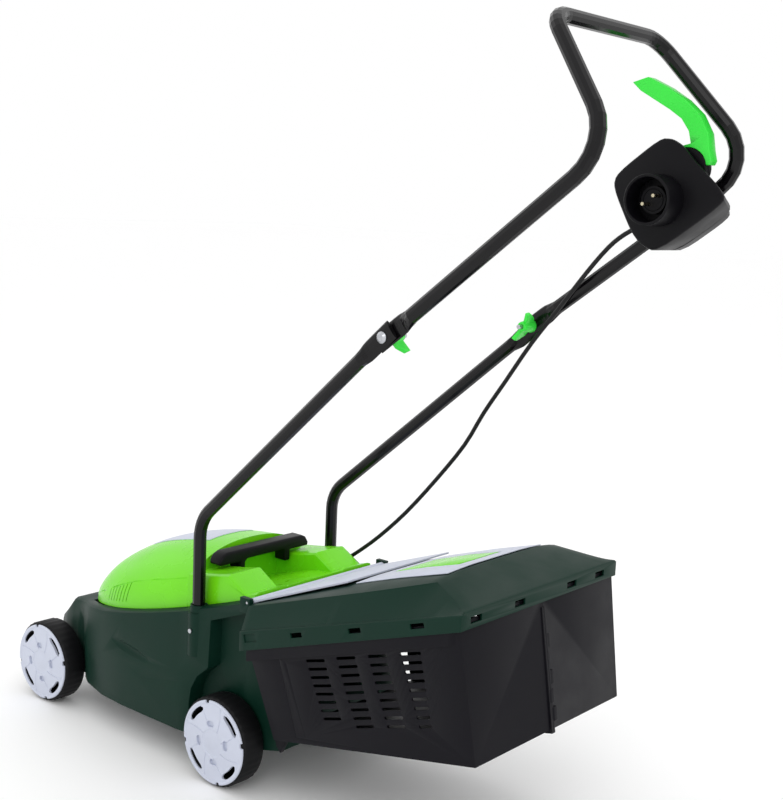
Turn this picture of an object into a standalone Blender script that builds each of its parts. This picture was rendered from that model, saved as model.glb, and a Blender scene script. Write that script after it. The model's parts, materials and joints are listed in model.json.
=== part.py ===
"""Corded electric rotary lawn mower with a rigid grass box, in metres, +Z up.

The front faces -Y and the mower's left side is +X. The layout is drawn from the rear axle: y = 0 is the
axle, x = 0 the middle plane and z = 0 the ground. One empty, mower_origin, then shifts everything, so
that the model's origin lies under the middle of the whole mower.
"""
import math

import bmesh
import bpy
from mathutils import Matrix, Vector

# Driving dimensions.
WHEEL_RADIUS = 0.070
FRONT_AXLE_Y = -0.462
FRONT_OUTER_X = 0.1643
REAR_OUTER_X = 0.1822
LIFT_RANGE = 0.035
AXLE_RADIUS = 0.004
TUBE_RADIUS = 0.0101
LOOP_RADIUS = 0.0103
FOOT = Vector((0.1494, -0.0713, 0.2050))
LOWER_BEND = Vector((0.1494, -0.0726, 0.3990))
BOLT = Vector((0.1730, 0.3014, 0.7199))
LOOP_REAR = Vector((0.1850, 0.6288, 0.9681))
LOOP_TOP = Vector((0.1280, 0.4996, 1.1256))
ROTOR_Y = -0.255
BLADE_LENGTH = 0.300
CHAMBER_RADIUS = 0.155
WALL = 0.0025
GAP = 0.0003
LEAD_RADIUS = 0.0033
SIDES = {"left": 1, "right": -1}
FRONT_OF_ALL = FRONT_AXLE_Y - WHEEL_RADIUS
BACK_OF_ALL = 0.6170
LEFT_OF_ALL = 0.1930
RIGHT_OF_ALL = -0.2065
ORIGIN_SHIFT = Vector((-(LEFT_OF_ALL + RIGHT_OF_ALL) / 2, -(FRONT_OF_ALL + BACK_OF_ALL) / 2, 0))

# Directions along the upper handle, and square to it on its upper side.
ALONG = Vector((0, LOOP_REAR.y - BOLT.y, LOOP_REAR.z - BOLT.z)).normalized()
ABOVE = Vector((1, 0, 0)).cross(ALONG)


def clear_scene():
    for obj in list(bpy.data.objects):
        bpy.data.objects.remove(obj)


def collection(name):
    made = bpy.data.collections.new(name)
    bpy.context.scene.collection.children.link(made)
    return made


def finish(name, colour, roughness, metallic=0.0):
    made = bpy.data.materials.new(name)
    made.use_nodes = True
    shader = made.node_tree.nodes["Principled BSDF"]
    shader.inputs["Base Color"].default_value = (*colour, 1)
    shader.inputs["Roughness"].default_value = roughness
    shader.inputs["Metallic"].default_value = metallic
    return made


clear_scene()
PARTS = collection("lawn_mower")
CUTTERS = collection("cutters")
DARK_GREEN = finish("dark_green_plastic", (0.018, 0.050, 0.038), 0.45)
LIME = finish("lime_plastic", (0.21, 0.72, 0.02), 0.35)
SPRING_GREEN = finish("spring_green_plastic", (0.08, 0.80, 0.09), 0.35)
GREY = finish("pale_grey_plastic", (0.66, 0.69, 0.80), 0.45)
BLACK = finish("black_plastic", (0.022, 0.020, 0.028), 0.5)
TYRE = finish("tyre_plastic", (0.015, 0.015, 0.017), 0.7)
PAINT = finish("black_paint", (0.010, 0.009, 0.011), 0.25)
STEEL = finish("zinc_steel", (0.62, 0.62, 0.64), 0.35, 1.0)
CASTING = finish("cast_aluminium", (0.50, 0.51, 0.53), 0.5, 1.0)
BRASS = finish("nickel_brass", (0.72, 0.66, 0.50), 0.3, 1.0)
CABLE = finish("black_cable", (0.014, 0.014, 0.016), 0.55)


def marker(name, at):
    empty = bpy.data.objects.new(name, None)
    empty.empty_display_size = 0.02
    empty.location = at
    PARTS.objects.link(empty)
    return empty


ORIGIN = marker("mower_origin", ORIGIN_SHIFT)


def pivot(name, at):
    """An empty on a joint's axis, placed in the layout's frame."""
    empty = marker(name, at)
    empty.parent = ORIGIN
    return empty


def hang(obj, carrier):
    """Parents obj to an empty and keeps it where the layout has it."""
    empty = carrier or ORIGIN
    obj.parent = empty
    if empty is not ORIGIN:
        obj.matrix_parent_inverse = Matrix.Translation(-empty.location)


def node(name, mesh, material, carrier=None, smooth=True):
    obj = bpy.data.objects.new(name, mesh)
    mesh.materials.clear()
    mesh.materials.append(material)
    if smooth:
        mesh.shade_smooth()
        mesh.set_sharp_from_angle(angle=math.radians(35))
    PARTS.objects.link(obj)
    hang(obj, carrier)
    return obj


def boolean(obj, mesh, operation, carrier=None):
    """Cuts mesh from obj or joins it on, by a hidden object and a modifier. It returns the hidden object."""
    tool = bpy.data.objects.new(f"{obj.name}_{operation.lower()}", mesh)
    tool.hide_render = True
    tool.display_type = "WIRE"
    CUTTERS.objects.link(tool)
    hang(tool, carrier)
    modifier = obj.modifiers.new(operation.lower(), "BOOLEAN")
    modifier.operation = operation
    modifier.object = tool
    return tool


def cut(obj, *meshes):
    for mesh in meshes:
        boolean(obj, mesh, "DIFFERENCE")


def join(obj, *meshes):
    for mesh in meshes:
        boolean(obj, mesh, "UNION")


def mesh_of(bm, name="shape"):
    bmesh.ops.recalc_face_normals(bm, faces=bm.faces)
    mesh = bpy.data.meshes.new(name)
    bm.to_mesh(mesh)
    bm.free()
    return mesh


def block(low, high):
    """A box between two corners."""
    bm = bmesh.new()
    bmesh.ops.create_cube(bm, size=1)
    low, high = Vector(low), Vector(high)
    bmesh.ops.scale(bm, vec=high - low, verts=bm.verts)
    bmesh.ops.translate(bm, vec=(low + high) / 2, verts=bm.verts)
    return mesh_of(bm)


def wedge(front, rear, side=None):
    """A box whose front and rear faces differ, each given as (y low, z low, y high, z high, half width low,
    half width high). A side keeps one half only, from GAP / 2 outwards."""
    bm = bmesh.new()
    bmesh.ops.create_cube(bm, size=1)
    for vert in bm.verts:
        y_low, z_low, y_high, z_high, w_low, w_high = front if vert.co.y < 0 else rear
        high = vert.co.z > 0
        half = w_high if high else w_low
        x = half * (1 if vert.co.x > 0 else -1)
        if side:
            x = side * (half if vert.co.x > 0 else GAP / 2)
        vert.co = (x, y_high if high else y_low, z_high if high else z_low)
    return mesh_of(bm)


def bar(start, end, radius, sides=16):
    """A round bar between two points."""
    start, end = Vector(start), Vector(end)
    bm = bmesh.new()
    bmesh.ops.create_cone(
        bm,
        cap_ends=True,
        segments=sides,
        radius1=radius,
        radius2=radius,
        depth=(end - start).length,
    )
    turn = (end - start).to_track_quat("Z", "Y").to_matrix().to_4x4()
    bmesh.ops.transform(bm, matrix=Matrix.Translation((start + end) / 2) @ turn, verts=bm.verts)
    return mesh_of(bm)


def plane_matrix(first, second, at=(0, 0, 0)):
    """Turns a flat outline's X and Y into two directions of the layout, and its thickness into their cross."""
    first, second = Vector(first), Vector(second)
    columns = Matrix((first, second, first.cross(second))).transposed().to_4x4()
    return Matrix.Translation(at) @ columns


def baked(obj, matrix):
    """The evaluated mesh of a helper object, welded and moved by matrix, and the helper removed."""
    bpy.context.scene.collection.objects.link(obj)
    evaluated = obj.evaluated_get(bpy.context.evaluated_depsgraph_get())
    mesh = bpy.data.meshes.new_from_object(evaluated)
    bpy.data.objects.remove(obj)
    bm = bmesh.new()
    bm.from_mesh(mesh)
    bmesh.ops.remove_doubles(bm, verts=bm.verts, dist=1e-6)
    bmesh.ops.transform(bm, matrix=matrix, verts=bm.verts)
    bpy.data.meshes.remove(mesh)
    return mesh_of(bm)


def slab(outline, low, high, matrix):
    """A flat outline with a thickness from low to high along the third direction of matrix."""
    curve = bpy.data.curves.new("outline", "CURVE")
    curve.dimensions = "2D"
    curve.fill_mode = "BOTH"
    curve.extrude = (high - low) / 2
    spline = curve.splines.new("POLY")
    spline.points.add(len(outline) - 1)
    for point, (x, y) in zip(spline.points, outline):
        point.co = (x, y, 0, 1)
    spline.use_cyclic_u = True
    return baked(bpy.data.objects.new("outline", curve), matrix @ Matrix.Translation((0, 0, (low + high) / 2)))


def turned(profile, matrix, steps=24):
    """A turned shape about the third direction of matrix, from (radius, height) points."""
    mesh = bpy.data.meshes.new("profile")
    on_axis = profile[0][0] == 0
    edges = [(i, i + 1) for i in range(len(profile) - 1)]
    if not on_axis:
        edges.append((len(profile) - 1, 0))
    mesh.from_pydata([(r, 0, z) for r, z in profile], edges, [])
    obj = bpy.data.objects.new("profile", mesh)
    screw = obj.modifiers.new("turn", "SCREW")
    screw.steps = screw.render_steps = steps
    screw.use_merge_vertices = True
    screw.merge_threshold = 1e-5
    return baked(obj, matrix)


def tube(points, radius, resolution=4):
    """A round tube along points."""
    curve = bpy.data.curves.new("path", "CURVE")
    curve.dimensions = "3D"
    curve.bevel_depth = radius
    curve.bevel_resolution = resolution
    curve.use_fill_caps = True
    spline = curve.splines.new("POLY")
    spline.points.add(len(points) - 1)
    for point, place in zip(spline.points, points):
        point.co = (*place, 1)
    return baked(bpy.data.objects.new("path", curve), Matrix.Identity(4))


def loft(sections):
    """A closed skin over sections that have the same number of points."""
    bm = bmesh.new()
    rings = [[bm.verts.new(point) for point in section] for section in sections]
    count = len(rings[0])
    for ring, after in zip(rings, rings[1:]):
        for i in range(count):
            j = (i + 1) % count
            bm.faces.new((ring[i], ring[j], after[j], after[i]))
    bm.faces.new(rings[0])
    bm.faces.new(rings[-1])
    return mesh_of(bm)


def mirrored(half):
    """A closed section in X and Z at one y, from its right half, outermost point first."""
    return list(half) + [(-x, y, z) for x, y, z in reversed(half) if x > 1e-6]


def rounded(points, radii, arc_points=7):
    """The path through points with each inner corner rounded to its radius."""
    points = [Vector(point) for point in points]
    path = [points[0]]
    for before, corner, after, radius in zip(points, points[1:], points[2:], radii):
        back = (before - corner).normalized()
        ahead = (after - corner).normalized()
        half = back.angle(ahead) / 2
        centre = corner + (back + ahead).normalized() * radius / math.sin(half)
        start = corner + back * radius / math.tan(half) - centre
        end = corner + ahead * radius / math.tan(half) - centre
        sweep = start.angle(end)
        for i in range(arc_points):
            share = i / (arc_points - 1)
            mixed = start * math.sin((1 - share) * sweep) + end * math.sin(share * sweep)
            path.append(centre + mixed / math.sin(sweep))
    return path + [points[-1]]


def flipped(point, side):
    return Vector((point[0] * side, point[1], point[2]))


def on_handle(x, along, above):
    """A point given along and above the upper handle, from the fold bolts."""
    return Vector((x, BOLT.y, BOLT.z)) + ALONG * along + ABOVE * above


YZ = plane_matrix((0, 1, 0), (0, 0, 1))
XZ = plane_matrix((0, 0, 1), (1, 0, 0))
HANDLE_PLANE = plane_matrix(ALONG, ABOVE, (0, BOLT.y, BOLT.z))


# Deck -------------------------------------------------------------------------------------------------
def seam(y):
    """Height of the joint between the deck and the hood, which rises to the rear."""
    rise = y + 0.126
    return 0.2445 + 0.28 * rise + 0.25 * rise * rise


STATIONS = (-0.440, -0.424, -0.400, -0.360, -0.300, -0.240, -0.170, -0.105)
# y, half width, bottom, top; the top follows the seam where the hood sits on it
NOSE = ((-0.500, 0.086, 0.088, 0.116), (-0.486, 0.101, 0.066, 0.140), (-0.462, 0.109, 0.056, 0.158))
FLANKS = {-0.440: 0.112, -0.424: 0.114, -0.400: 0.120, -0.360: 0.142, -0.300: 0.159, -0.240: 0.164}
REAR_SIDES = ((-0.030, 0.160, 0.056), (0.040, 0.158, 0.058), (0.115, 0.156, 0.078))


def deck_section(y, half, low, top):
    round_off = 0.010
    right = [
        (half - 0.002, y, low),
        (half, y, low + 0.5 * (top - low)),
        (half - 0.002, y, top - round_off),
        (half - 0.4 * round_off, y, top - 0.3 * round_off),
        (half - round_off, y, top),
    ]
    return mirrored(right)


def deck_outline():
    sections = [deck_section(*row) for row in NOSE]
    for y in STATIONS:
        sections.append(deck_section(y, FLANKS.get(y, 0.164), 0.055, seam(y)))
    for y, half, low in REAR_SIDES:
        sections.append(deck_section(y, half, low, seam(y)))
    return loft(sections)


def wheel_arch(y):
    """Outline of the room for a wheel at both ends of its height range."""
    room = WHEEL_RADIUS + 0.007
    top = WHEEL_RADIUS + LIFT_RANGE
    arc = [math.radians(a) for a in range(0, 181, 20)]
    outline = [(y + room * math.cos(a), top + room * math.sin(a)) for a in arc]
    return outline + [(y - room, -0.01), (y + room, -0.01)]


def build_deck():
    deck = node("deck", deck_outline(), DARK_GREEN)
    for side in SIDES.values():
        foot = flipped(FOOT, side)
        join(deck, bar((foot.x, foot.y, 0.185), (foot.x, foot.y, 0.2540), 0.0162, 20))
        join(deck, bar((foot.x, foot.y, 0.2400), (foot.x, foot.y, 0.2654), 0.0136, 20))
        inner, outer = sorted((side * 0.1515, side * 0.1595))
        join(deck, block((inner, 0.030, 0.280), (outer, 0.0500, 0.3030)))
    recess = [
        (-0.036, 0.175), (-0.034, 0.250), (0.200, 0.340), (0.200, -0.01), (-0.075, -0.01), (-0.062, 0.140),
    ]
    for side in SIDES.values():
        inner, outer = sorted((side * 0.134, side * 0.250))
        cut(deck, slab(recess, inner, outer, YZ), slab(wheel_arch(0), inner, outer, YZ))
        inner, outer = sorted((side * 0.1145, side * 0.250))
        cut(deck, slab(wheel_arch(FRONT_AXLE_Y), inner, outer, YZ))
    behind = [
        (0.0500, 0.360), (0.0505, 0.275), (0.0535, 0.229), (0.1060, 0.060), (0.250, 0.060), (0.250, 0.360),
    ]
    cut(deck, slab(behind, -0.20, 0.20, YZ))
    cut(deck, block((-0.1515 + GAP, 0.0385, 0.280), (0.1515 - GAP, 0.070, 0.330)))
    cut(deck, bar((0, ROTOR_Y, -0.01), (0, ROTOR_Y, 0.150), CHAMBER_RADIUS, 40))
    pocket_front = (-0.482, -0.01, -0.482, 0.106, 0.090, 0.088)
    pocket_rear = (-0.414, -0.01, -0.414, 0.118, 0.100, 0.098)
    cut(deck, wedge(pocket_front, pocket_rear))
    cut(deck, block((-0.120, -0.088, -0.01), (0.120, 0.086, 0.113)))
    tunnel_front = (-0.130, 0.119, -0.170, 0.1495, 0.105, 0.105)
    tunnel_rear = (0.150, 0.127, 0.150, 0.267, 0.112, 0.112)
    cut(deck, wedge(tunnel_front, tunnel_rear))
    well = (
        ((0.112, -0.385, 0.156), (0.070, -0.420, 0.400)),
        ((0.134, -0.333, 0.156), (0.108, -0.333, 0.400)),
        ((0.136, -0.182, 0.156), (0.110, -0.182, 0.400)),
        ((0.124, 0.026, 0.228), (0.118, 0.026, 0.400)),
    )
    cut(deck, loft([mirrored(edge) for edge in well]))
    cut(deck, bar((0, ROTOR_Y, 0.10), (0, ROTOR_Y, 0.20), 0.0120, 24))
    for y in (FRONT_AXLE_Y, 0):
        low, high = WHEEL_RADIUS - 0.0046, WHEEL_RADIUS + LIFT_RANGE + 0.0046
        cut(deck, block((-0.20, y - 0.0046, low), (0.20, y + 0.0046, high)))
    for side in SIDES.values():
        foot = flipped(FOOT, side)
        rise = (flipped(LOWER_BEND, side) - foot).normalized()
        cut(deck, bar(foot - rise * GAP, foot + rise * 0.095, TUBE_RADIUS + GAP, 24))
        cut(deck, bar((side * 0.157, FOOT.y, 0.226), (side * 0.180, FOOT.y, 0.226), 0.0022, 12))
        cut(deck, bar((side * 0.1400, 0.0440, 0.2965), (side * 0.1800, 0.0440, 0.2965), 0.0023, 12))


# Hood -------------------------------------------------------------------------------------------------
# y, half width, crest height
DOME = (
    (-0.425, 0.052, 0.190),
    (-0.408, 0.074, 0.212),
    (-0.385, 0.097, 0.242),
    (-0.346, 0.122, 0.276),
    (-0.290, 0.138, 0.304),
    (-0.235, 0.143, 0.321),
    (-0.170, 0.142, 0.334),
    (-0.112, 0.1375, 0.340),
)
REAR_BLOCK = (
    (-0.1115, 0.1375, 0.3030), (-0.060, 0.1350, 0.3115), (-0.026, 0.1345, 0.3185), (0.012, 0.1338, 0.2965),
    (0.034, 0.1330, 0.3030),
)
SHOULDER_INNER = 0.060


def dome_section(y, half, crest, inset=0.0, foot=0.0):
    """A crowned arch over the seam. An inset makes the inner skin, a foot reaches below the seam."""
    base = seam(y) + GAP * 2
    half -= inset
    height = crest - inset - base
    right = [(half, y, base - foot)]
    for i in range(1, 8):
        angle = math.radians(90 * i / 7)
        right.append((half * math.cos(angle) ** 0.88, y, base + height * math.sin(angle) ** 0.80))
    right[-1] = (0, y, right[-1][2])
    return mirrored(right)


def block_section(y, half, top, inset=0.0, foot=0.0):
    """Two shoulders with a lower tray between them, with as many points as dome_section."""
    base = seam(y) + GAP * 2
    tray = base + max(0.0052, 0.32 * (top - base))
    inner = SHOULDER_INNER + inset
    right = [
        (half - inset, y, base - foot),
        (half - inset, y, base + 0.5 * (top - base)),
        (half - 0.006 - inset, y, top - inset),
        (half - 0.030, y, top - inset),
        (inner + 0.006, y, top - inset),
        (inner, y, tray - inset),
        (inner * 0.5, y, tray - inset),
        (0, y, tray - inset),
    ]
    return mirrored(right)


def build_hood():
    sections = [dome_section(*row) for row in DOME] + [block_section(*row) for row in REAR_BLOCK]
    hood = node("hood", loft(sections), LIME)
    below = 0.03
    inner = [dome_section(y + WALL * 2, half, crest, WALL, below) for y, half, crest in DOME[1:-1]]
    inner.append(dome_section(DOME[-1][0] - WALL, DOME[-1][1], DOME[-1][2], WALL, below))
    rear = REAR_BLOCK
    inner.append(block_section(DOME[-1][0] - WALL + 0.0005, rear[0][1], rear[0][2], WALL, below))
    inner += [block_section(y, half, top, WALL, below) for y, half, top in rear[1:-1]]
    inner.append(block_section(rear[-1][0] - WALL, rear[-1][1], rear[-1][2], WALL, below))
    cut(hood, loft(inner))
    cut(hood, bar((-0.090, -0.035, 0.290), (-0.180, -0.035, 0.290), 0.0052, 16))


def build_hood_panel():
    """A thin inlay that follows the crest of the dome."""
    rise, thick = 0.0004, 0.0012
    rows = [row for row in DOME if -0.31 < row[0] < -0.10]
    lower, upper = [], []
    for y, half, crest in rows:
        arch = dome_section(y, half, crest)
        crown = [p for p in arch if abs(p[0]) < 0.080 and p[2] > seam(y) + 0.03]
        lower.append([(x, y, z + rise) for x, y, z in crown])
        upper.append([(x, y, z + rise + thick) for x, y, z in reversed(crown)])
    node("hood_panel", loft([low + high for low, high in zip(lower, upper)]), GREY)


def build_carry_handle():
    outline = [
        (0.100, 0.3140), (0.100, 0.321), (0.094, 0.330), (0.085, 0.334),
        (-0.085, 0.334), (-0.094, 0.330), (-0.100, 0.321), (-0.100, 0.3140),
        (-0.0570, 0.3140), (-0.0570, 0.2960), (-0.0450, 0.2960), (-0.0450, 0.3120), (-0.0400, 0.3165),
        (0.0400, 0.3165), (0.0450, 0.3120), (0.0450, 0.2960), (0.0570, 0.2960), (0.0570, 0.3140),
    ]
    turned_outline = [(z, x) for x, z in outline]
    node("carry_handle", slab(turned_outline, -0.1040, -0.0780, XZ), BLACK)


# Motor and blade --------------------------------------------------------------------------------------
def upright(z=0.0):
    return Matrix.Translation((0, ROTOR_Y, z))


def build_motor(rotor):
    can = [
        (0.0120, 0.282), (0.0440, 0.282), (0.0480, 0.276), (0.0480, 0.172), (0.0620, 0.168),
        (0.0620, 0.1563), (0.0250, 0.1563), (0.0250, 0.1700), (0.0056, 0.1700),
        (0.0056, 0.2700), (0.0120, 0.2700),
    ]
    node("motor_can", turned(can, upright(), 28), CASTING)
    for name, low, high in (("lower", 0.1515, 0.1660), ("upper", 0.2703, 0.2815)):
        ring = [(0.0053, high), (0.0117, high), (0.0117, low), (0.0053, low)]
        node(f"{name}_bearing", turned(ring, upright(), 20), STEEL)
    shaft = [(0, 0.302), (0.0050, 0.302), (0.0050, 0.0865), (0, 0.0865)]
    node("motor_shaft", turned(shaft, upright(), 20), STEEL, rotor)
    fan = [
        (0.0053, 0.2970), (0.0110, 0.2970), (0.0110, 0.2875), (0.0400, 0.2875), (0.0400, 0.2850),
        (0.0053, 0.2850),
    ]
    impeller = node("impeller", turned(fan, upright(), 24), BLACK, rotor)
    for i in range(6):
        blade = block((0.0100, -0.0008, 0.2860), (0.0370, 0.0008, 0.2950))
        blade.transform(upright() @ Matrix.Rotation(math.radians(60 * i), 4, "Z"))
        join(impeller, blade)
    hub = [(0.0045, 0.0860), (0.0150, 0.0860), (0.0230, 0.0760), (0.0230, 0.0698), (0.0045, 0.0698)]
    node("blade_hub", turned(hub, upright(), 24), CASTING, rotor)
    half = BLADE_LENGTH / 2
    tip = half - 0.030
    bar_outline = [
        (half, -0.021), (half, 0.012), (tip, 0.021), (-half, 0.021), (-half, -0.012), (-tip, -0.021),
    ]
    blade = node("blade", slab(bar_outline, 0.0665, 0.0695, upright()), STEEL, rotor)
    cut(blade, bar((0, ROTOR_Y, 0.05), (0, ROTOR_Y, 0.08), 0.0045, 16))
    bolt = [(0, 0.0850), (0.0040, 0.0850), (0.0040, 0.0662), (0.0110, 0.0662), (0.0110, 0.0600), (0, 0.0600)]
    node("blade_bolt", turned(bolt, upright(), 12), STEEL, rotor)


# Wheels and axles -------------------------------------------------------------------------------------
RIM_FACE = 0.0303
CAP_FACE = 0.0445


def build_wheel(name, axle, side, outer_x, axle_y):
    """A wheel with its cap and nut. Heights run outwards from the wheel's inner face."""
    inner_x = outer_x - CAP_FACE
    centre = Vector((side * inner_x, axle_y, WHEEL_RADIUS))
    spin = pivot(f"{name}_spin", centre)
    axis = Matrix.Translation(centre) @ Matrix.Rotation(math.radians(90 * side), 4, "Y")
    tyre = [
        (0.0041, 0.0300), (0.0120, 0.0300), (0.0140, 0.0200), (0.0560, 0.0180), (0.0580, 0.0400),
        (0.0665, 0.0400), (0.0700, 0.0370), (0.0700, 0.0040), (0.0665, 0), (0.0500, 0),
        (0.0480, 0.0120), (0.0140, 0.0120), (0.0120, 0.0000), (0.0041, 0.0000),
    ]
    node(f"wheel_{name}", turned(tyre, axis, 28), TYRE, spin)
    dish = [
        (0, CAP_FACE), (0.0250, CAP_FACE), (0.0640, 0.0432), (0.0656, 0.0415), (0.0656, 0.0403),
        (0.0570, 0.0403), (0.0545, 0.0385), (0, 0.0385),
    ]
    cap = node(f"hubcap_{name}", turned(dish, axis, 24), GREY, spin)
    for i in range(4):
        middle = math.radians(90 * i + 45)
        spread = [math.radians(a) for a in (-18, -6, 6, 18)]
        outline = [(0.0600 * math.cos(middle + a), 0.0600 * math.sin(middle + a)) for a in spread]
        outline += [(0.0480 * math.cos(middle + a), 0.0480 * math.sin(middle + a)) for a in reversed(spread)]
        cut(cap, slab(outline, 0.030, 0.050, axis))
    nut = [(AXLE_RADIUS + GAP, 0.0368), (0.0072, 0.0368), (0.0072, RIM_FACE), (AXLE_RADIUS + GAP, RIM_FACE)]
    node(f"axle_nut_{name}", turned(nut, axis, 12), STEEL, axle)


def build_axle(name, outer_x, axle_y):
    axle = pivot(f"{name}_axle_lift", (0, axle_y, WHEEL_RADIUS))
    reach = outer_x - CAP_FACE + 0.0372
    ends = [(side * reach, axle_y, WHEEL_RADIUS) for side in (-1, 1)]
    node(f"{name}_axle", bar(*ends, AXLE_RADIUS, 20), STEEL, axle)
    for side_name, side in SIDES.items():
        build_wheel(f"{name}_{side_name}", axle, side, outer_x, axle_y)
        if name == "front":
            start, end = 0.1150, outer_x - CAP_FACE - GAP * 2
            sleeve = [(AXLE_RADIUS + GAP, end), (0.0110, end), (0.0110, start), (AXLE_RADIUS + GAP, start)]
            middle = Matrix.Translation((0, axle_y, WHEEL_RADIUS))
            outwards = middle @ Matrix.Rotation(math.radians(90 * side), 4, "Y")
            node(f"front_spacer_{side_name}", turned(sleeve, outwards, 16), BLACK, axle)


# Handle -----------------------------------------------------------------------------------------------
FLAT_HALF = 0.0030
LOWER_FLAT_X = 0.1765
UPPER_FLAT_X = 0.1695
PAST_BOLT = 0.018


def flatten_end(mesh, side, flat_x, radius, lower):
    """Presses a tube flat around its fold bolt, over 40 mm, and eases back to round over 25 mm more."""
    for vert in mesh.vertices:
        if vert.co.x * side < 0:
            continue
        offset = Vector((0, vert.co.y - BOLT.y, vert.co.z - BOLT.z))
        away = offset.dot(ALONG) * (-1 if lower else 1)
        share = min(1, max(0, (0.055 - away) / 0.025))
        if share == 0:
            continue
        share = share * share * (3 - 2 * share)
        above = offset.dot(ABOVE)
        squeeze = 1 + share * (FLAT_HALF / radius - 1)
        centre = tube_centre(vert.co, lower)
        middle = share * flat_x + (1 - share) * centre
        vert.co.x = side * (middle + (vert.co.x * side - centre) * squeeze)
        vert.co += ABOVE * above * 0.35 * share


def tube_centre(point, lower):
    """Distance of a tube's centre from the middle plane, at a point near the fold bolt."""
    if lower:
        share = (point.z - LOWER_BEND.z) / (BOLT.z - LOWER_BEND.z)
        return LOWER_BEND.x + share * (LOWER_FLAT_X - LOWER_BEND.x)
    share = (point.z - BOLT.z) / (LOOP_REAR.z - BOLT.z)
    return UPPER_FLAT_X + share * (LOOP_REAR.x - UPPER_FLAT_X)


def eased(start, end, steps=(0, 0.010, 0.020, 0.030, 0.0375, 0.045, 0.0525, 0.060, 0.070)):
    """Points from a tube's end to beyond where it is round again."""
    direction = (end - start).normalized()
    return [start + direction * step for step in steps]


def build_lower_tubes():
    for name, side in SIDES.items():
        bolt = Vector((LOWER_FLAT_X, BOLT.y, BOLT.z))
        run = (bolt - LOWER_BEND).normalized()
        tip = bolt + run * PAST_BOLT
        path = rounded([FOOT, LOWER_BEND, bolt - run * 0.075], [0.060])
        path += reversed(eased(tip, LOWER_BEND))
        mesh = tube([flipped(point, side) for point in path], TUBE_RADIUS)
        flatten_end(mesh, side, LOWER_FLAT_X, TUBE_RADIUS, lower=True)
        obj = node(f"lower_tube_{name}", mesh, PAINT)
        cut(obj, bar((side * 0.15, BOLT.y, BOLT.z), (side * 0.20, BOLT.y, BOLT.z), 0.0036, 16))
        shank = bar((side * 0.1606, FOOT.y, 0.226), (side * 0.1662, FOOT.y, 0.226), 0.0018, 12)
        screw = node(f"socket_screw_{name}", shank, STEEL)
        join(screw, bar((side * 0.1659, FOOT.y, 0.226), (side * 0.1680, FOOT.y, 0.226), 0.0036, 12))


def build_upper_tube(fold):
    bolt = Vector((UPPER_FLAT_X, BOLT.y, BOLT.z))
    run = (LOOP_REAR - bolt).normalized()
    tip = bolt - run * PAST_BOLT
    start = eased(tip, LOOP_REAR)
    left = [start[-1], LOOP_REAR, LOOP_TOP]
    corners = left + [flipped(point, -1) for point in reversed(left)]
    path = start[:-1] + rounded(corners, [0.058, 0.040, 0.040, 0.058])
    path += [flipped(point, -1) for point in reversed(start[:-1])]
    mesh = tube(path, LOOP_RADIUS)
    for side in SIDES.values():
        flatten_end(mesh, side, UPPER_FLAT_X, LOOP_RADIUS, lower=False)
    loop = node("upper_tube", mesh, PAINT, fold)
    for side in SIDES.values():
        cut(loop, bar((side * 0.15, BOLT.y, BOLT.z), (side * 0.20, BOLT.y, BOLT.z), 0.0036, 16))
    return path


def build_bolts(fold):
    """Carriage bolts from outside, and wing nuts on the inner ends."""
    for name, side in SIDES.items():
        axis = Matrix.Translation((0, BOLT.y, BOLT.z)) @ Matrix.Rotation(math.radians(90 * side), 4, "Y")
        head = LOWER_FLAT_X + FLAT_HALF + GAP
        profile = [
            (0, head + 0.0045), (0.0045, head + 0.0038), (0.0080, head + 0.0012), (0.0080, head),
            (0.0032, head), (0.0032, 0.1320), (0, 0.1320),
        ]
        node(f"carriage_bolt_{name}", turned(profile, axis, 16), STEEL, fold)
        spin = pivot(f"wing_nut_{name}_spin", (side * 0.150, BOLT.y, BOLT.z))
        face = UPPER_FLAT_X - FLAT_HALF - 0.0006
        boss = [
            (0.0035, face), (0.0100, face), (0.0085, face - 0.018), (0.0070, face - 0.026),
            (0.0035, face - 0.026),
        ]
        nut = node(f"wing_nut_{name}", turned(boss, axis, 16), SPRING_GREEN, spin)
        wing = [
            (0.0055, face - 0.003), (0.0160, face - 0.008), (0.0240, face - 0.022), (0.0225, face - 0.030),
            (0.0140, face - 0.026), (0.0055, face - 0.022),
        ]
        for turn in (1, -1):
            outline = [(turn * r, x) for r, x in wing]
            tilted = Matrix.Translation((0, BOLT.y, BOLT.z)) @ Matrix.Rotation(math.radians(-60 * side), 4, "X")
            plane = tilted @ plane_matrix((0, 1, 0), (side, 0, 0))
            join(nut, slab(outline, -0.0030, 0.0030, plane))


# Switch box -------------------------------------------------------------------------------------------
CASE_INNER_X = -0.1240
CASE_SPLIT_X = -0.1800
CASE_OUTER_X = -0.2035
CASE = [
    (0.233, 0.011), (0.236, -0.014), (0.250, -0.036), (0.368, -0.037), (0.376, -0.026), (0.365, 0.034),
    (0.362, 0.060), (0.354, 0.078), (0.339, 0.090), (0.258, 0.090), (0.243, 0.077),
]
OUTER_CASE = [
    (0.233, 0.011), (0.236, -0.014), (0.250, -0.036), (0.340, -0.037), (0.346, -0.026), (0.341, 0.034),
    (0.338, 0.060), (0.330, 0.078), (0.318, 0.090), (0.258, 0.090), (0.243, 0.077),
]
LEVER_AXIS = (0.344, 0.036)
LEVER_LOW_X, LEVER_HIGH_X = -0.1560, -0.1360
LEAN_START, LEAN = 0.060, 0.34
DRUM_RADIUS = 0.0275
INLET = (0.294, 0.019)
PIN_SPACING = 0.019
BUTTON = (0.290, 0.058)


def handle_bar(x_start, x_end, spot, radius, sides=16):
    return bar(on_handle(x_start, *spot), on_handle(x_end, *spot), radius, sides)


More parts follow.
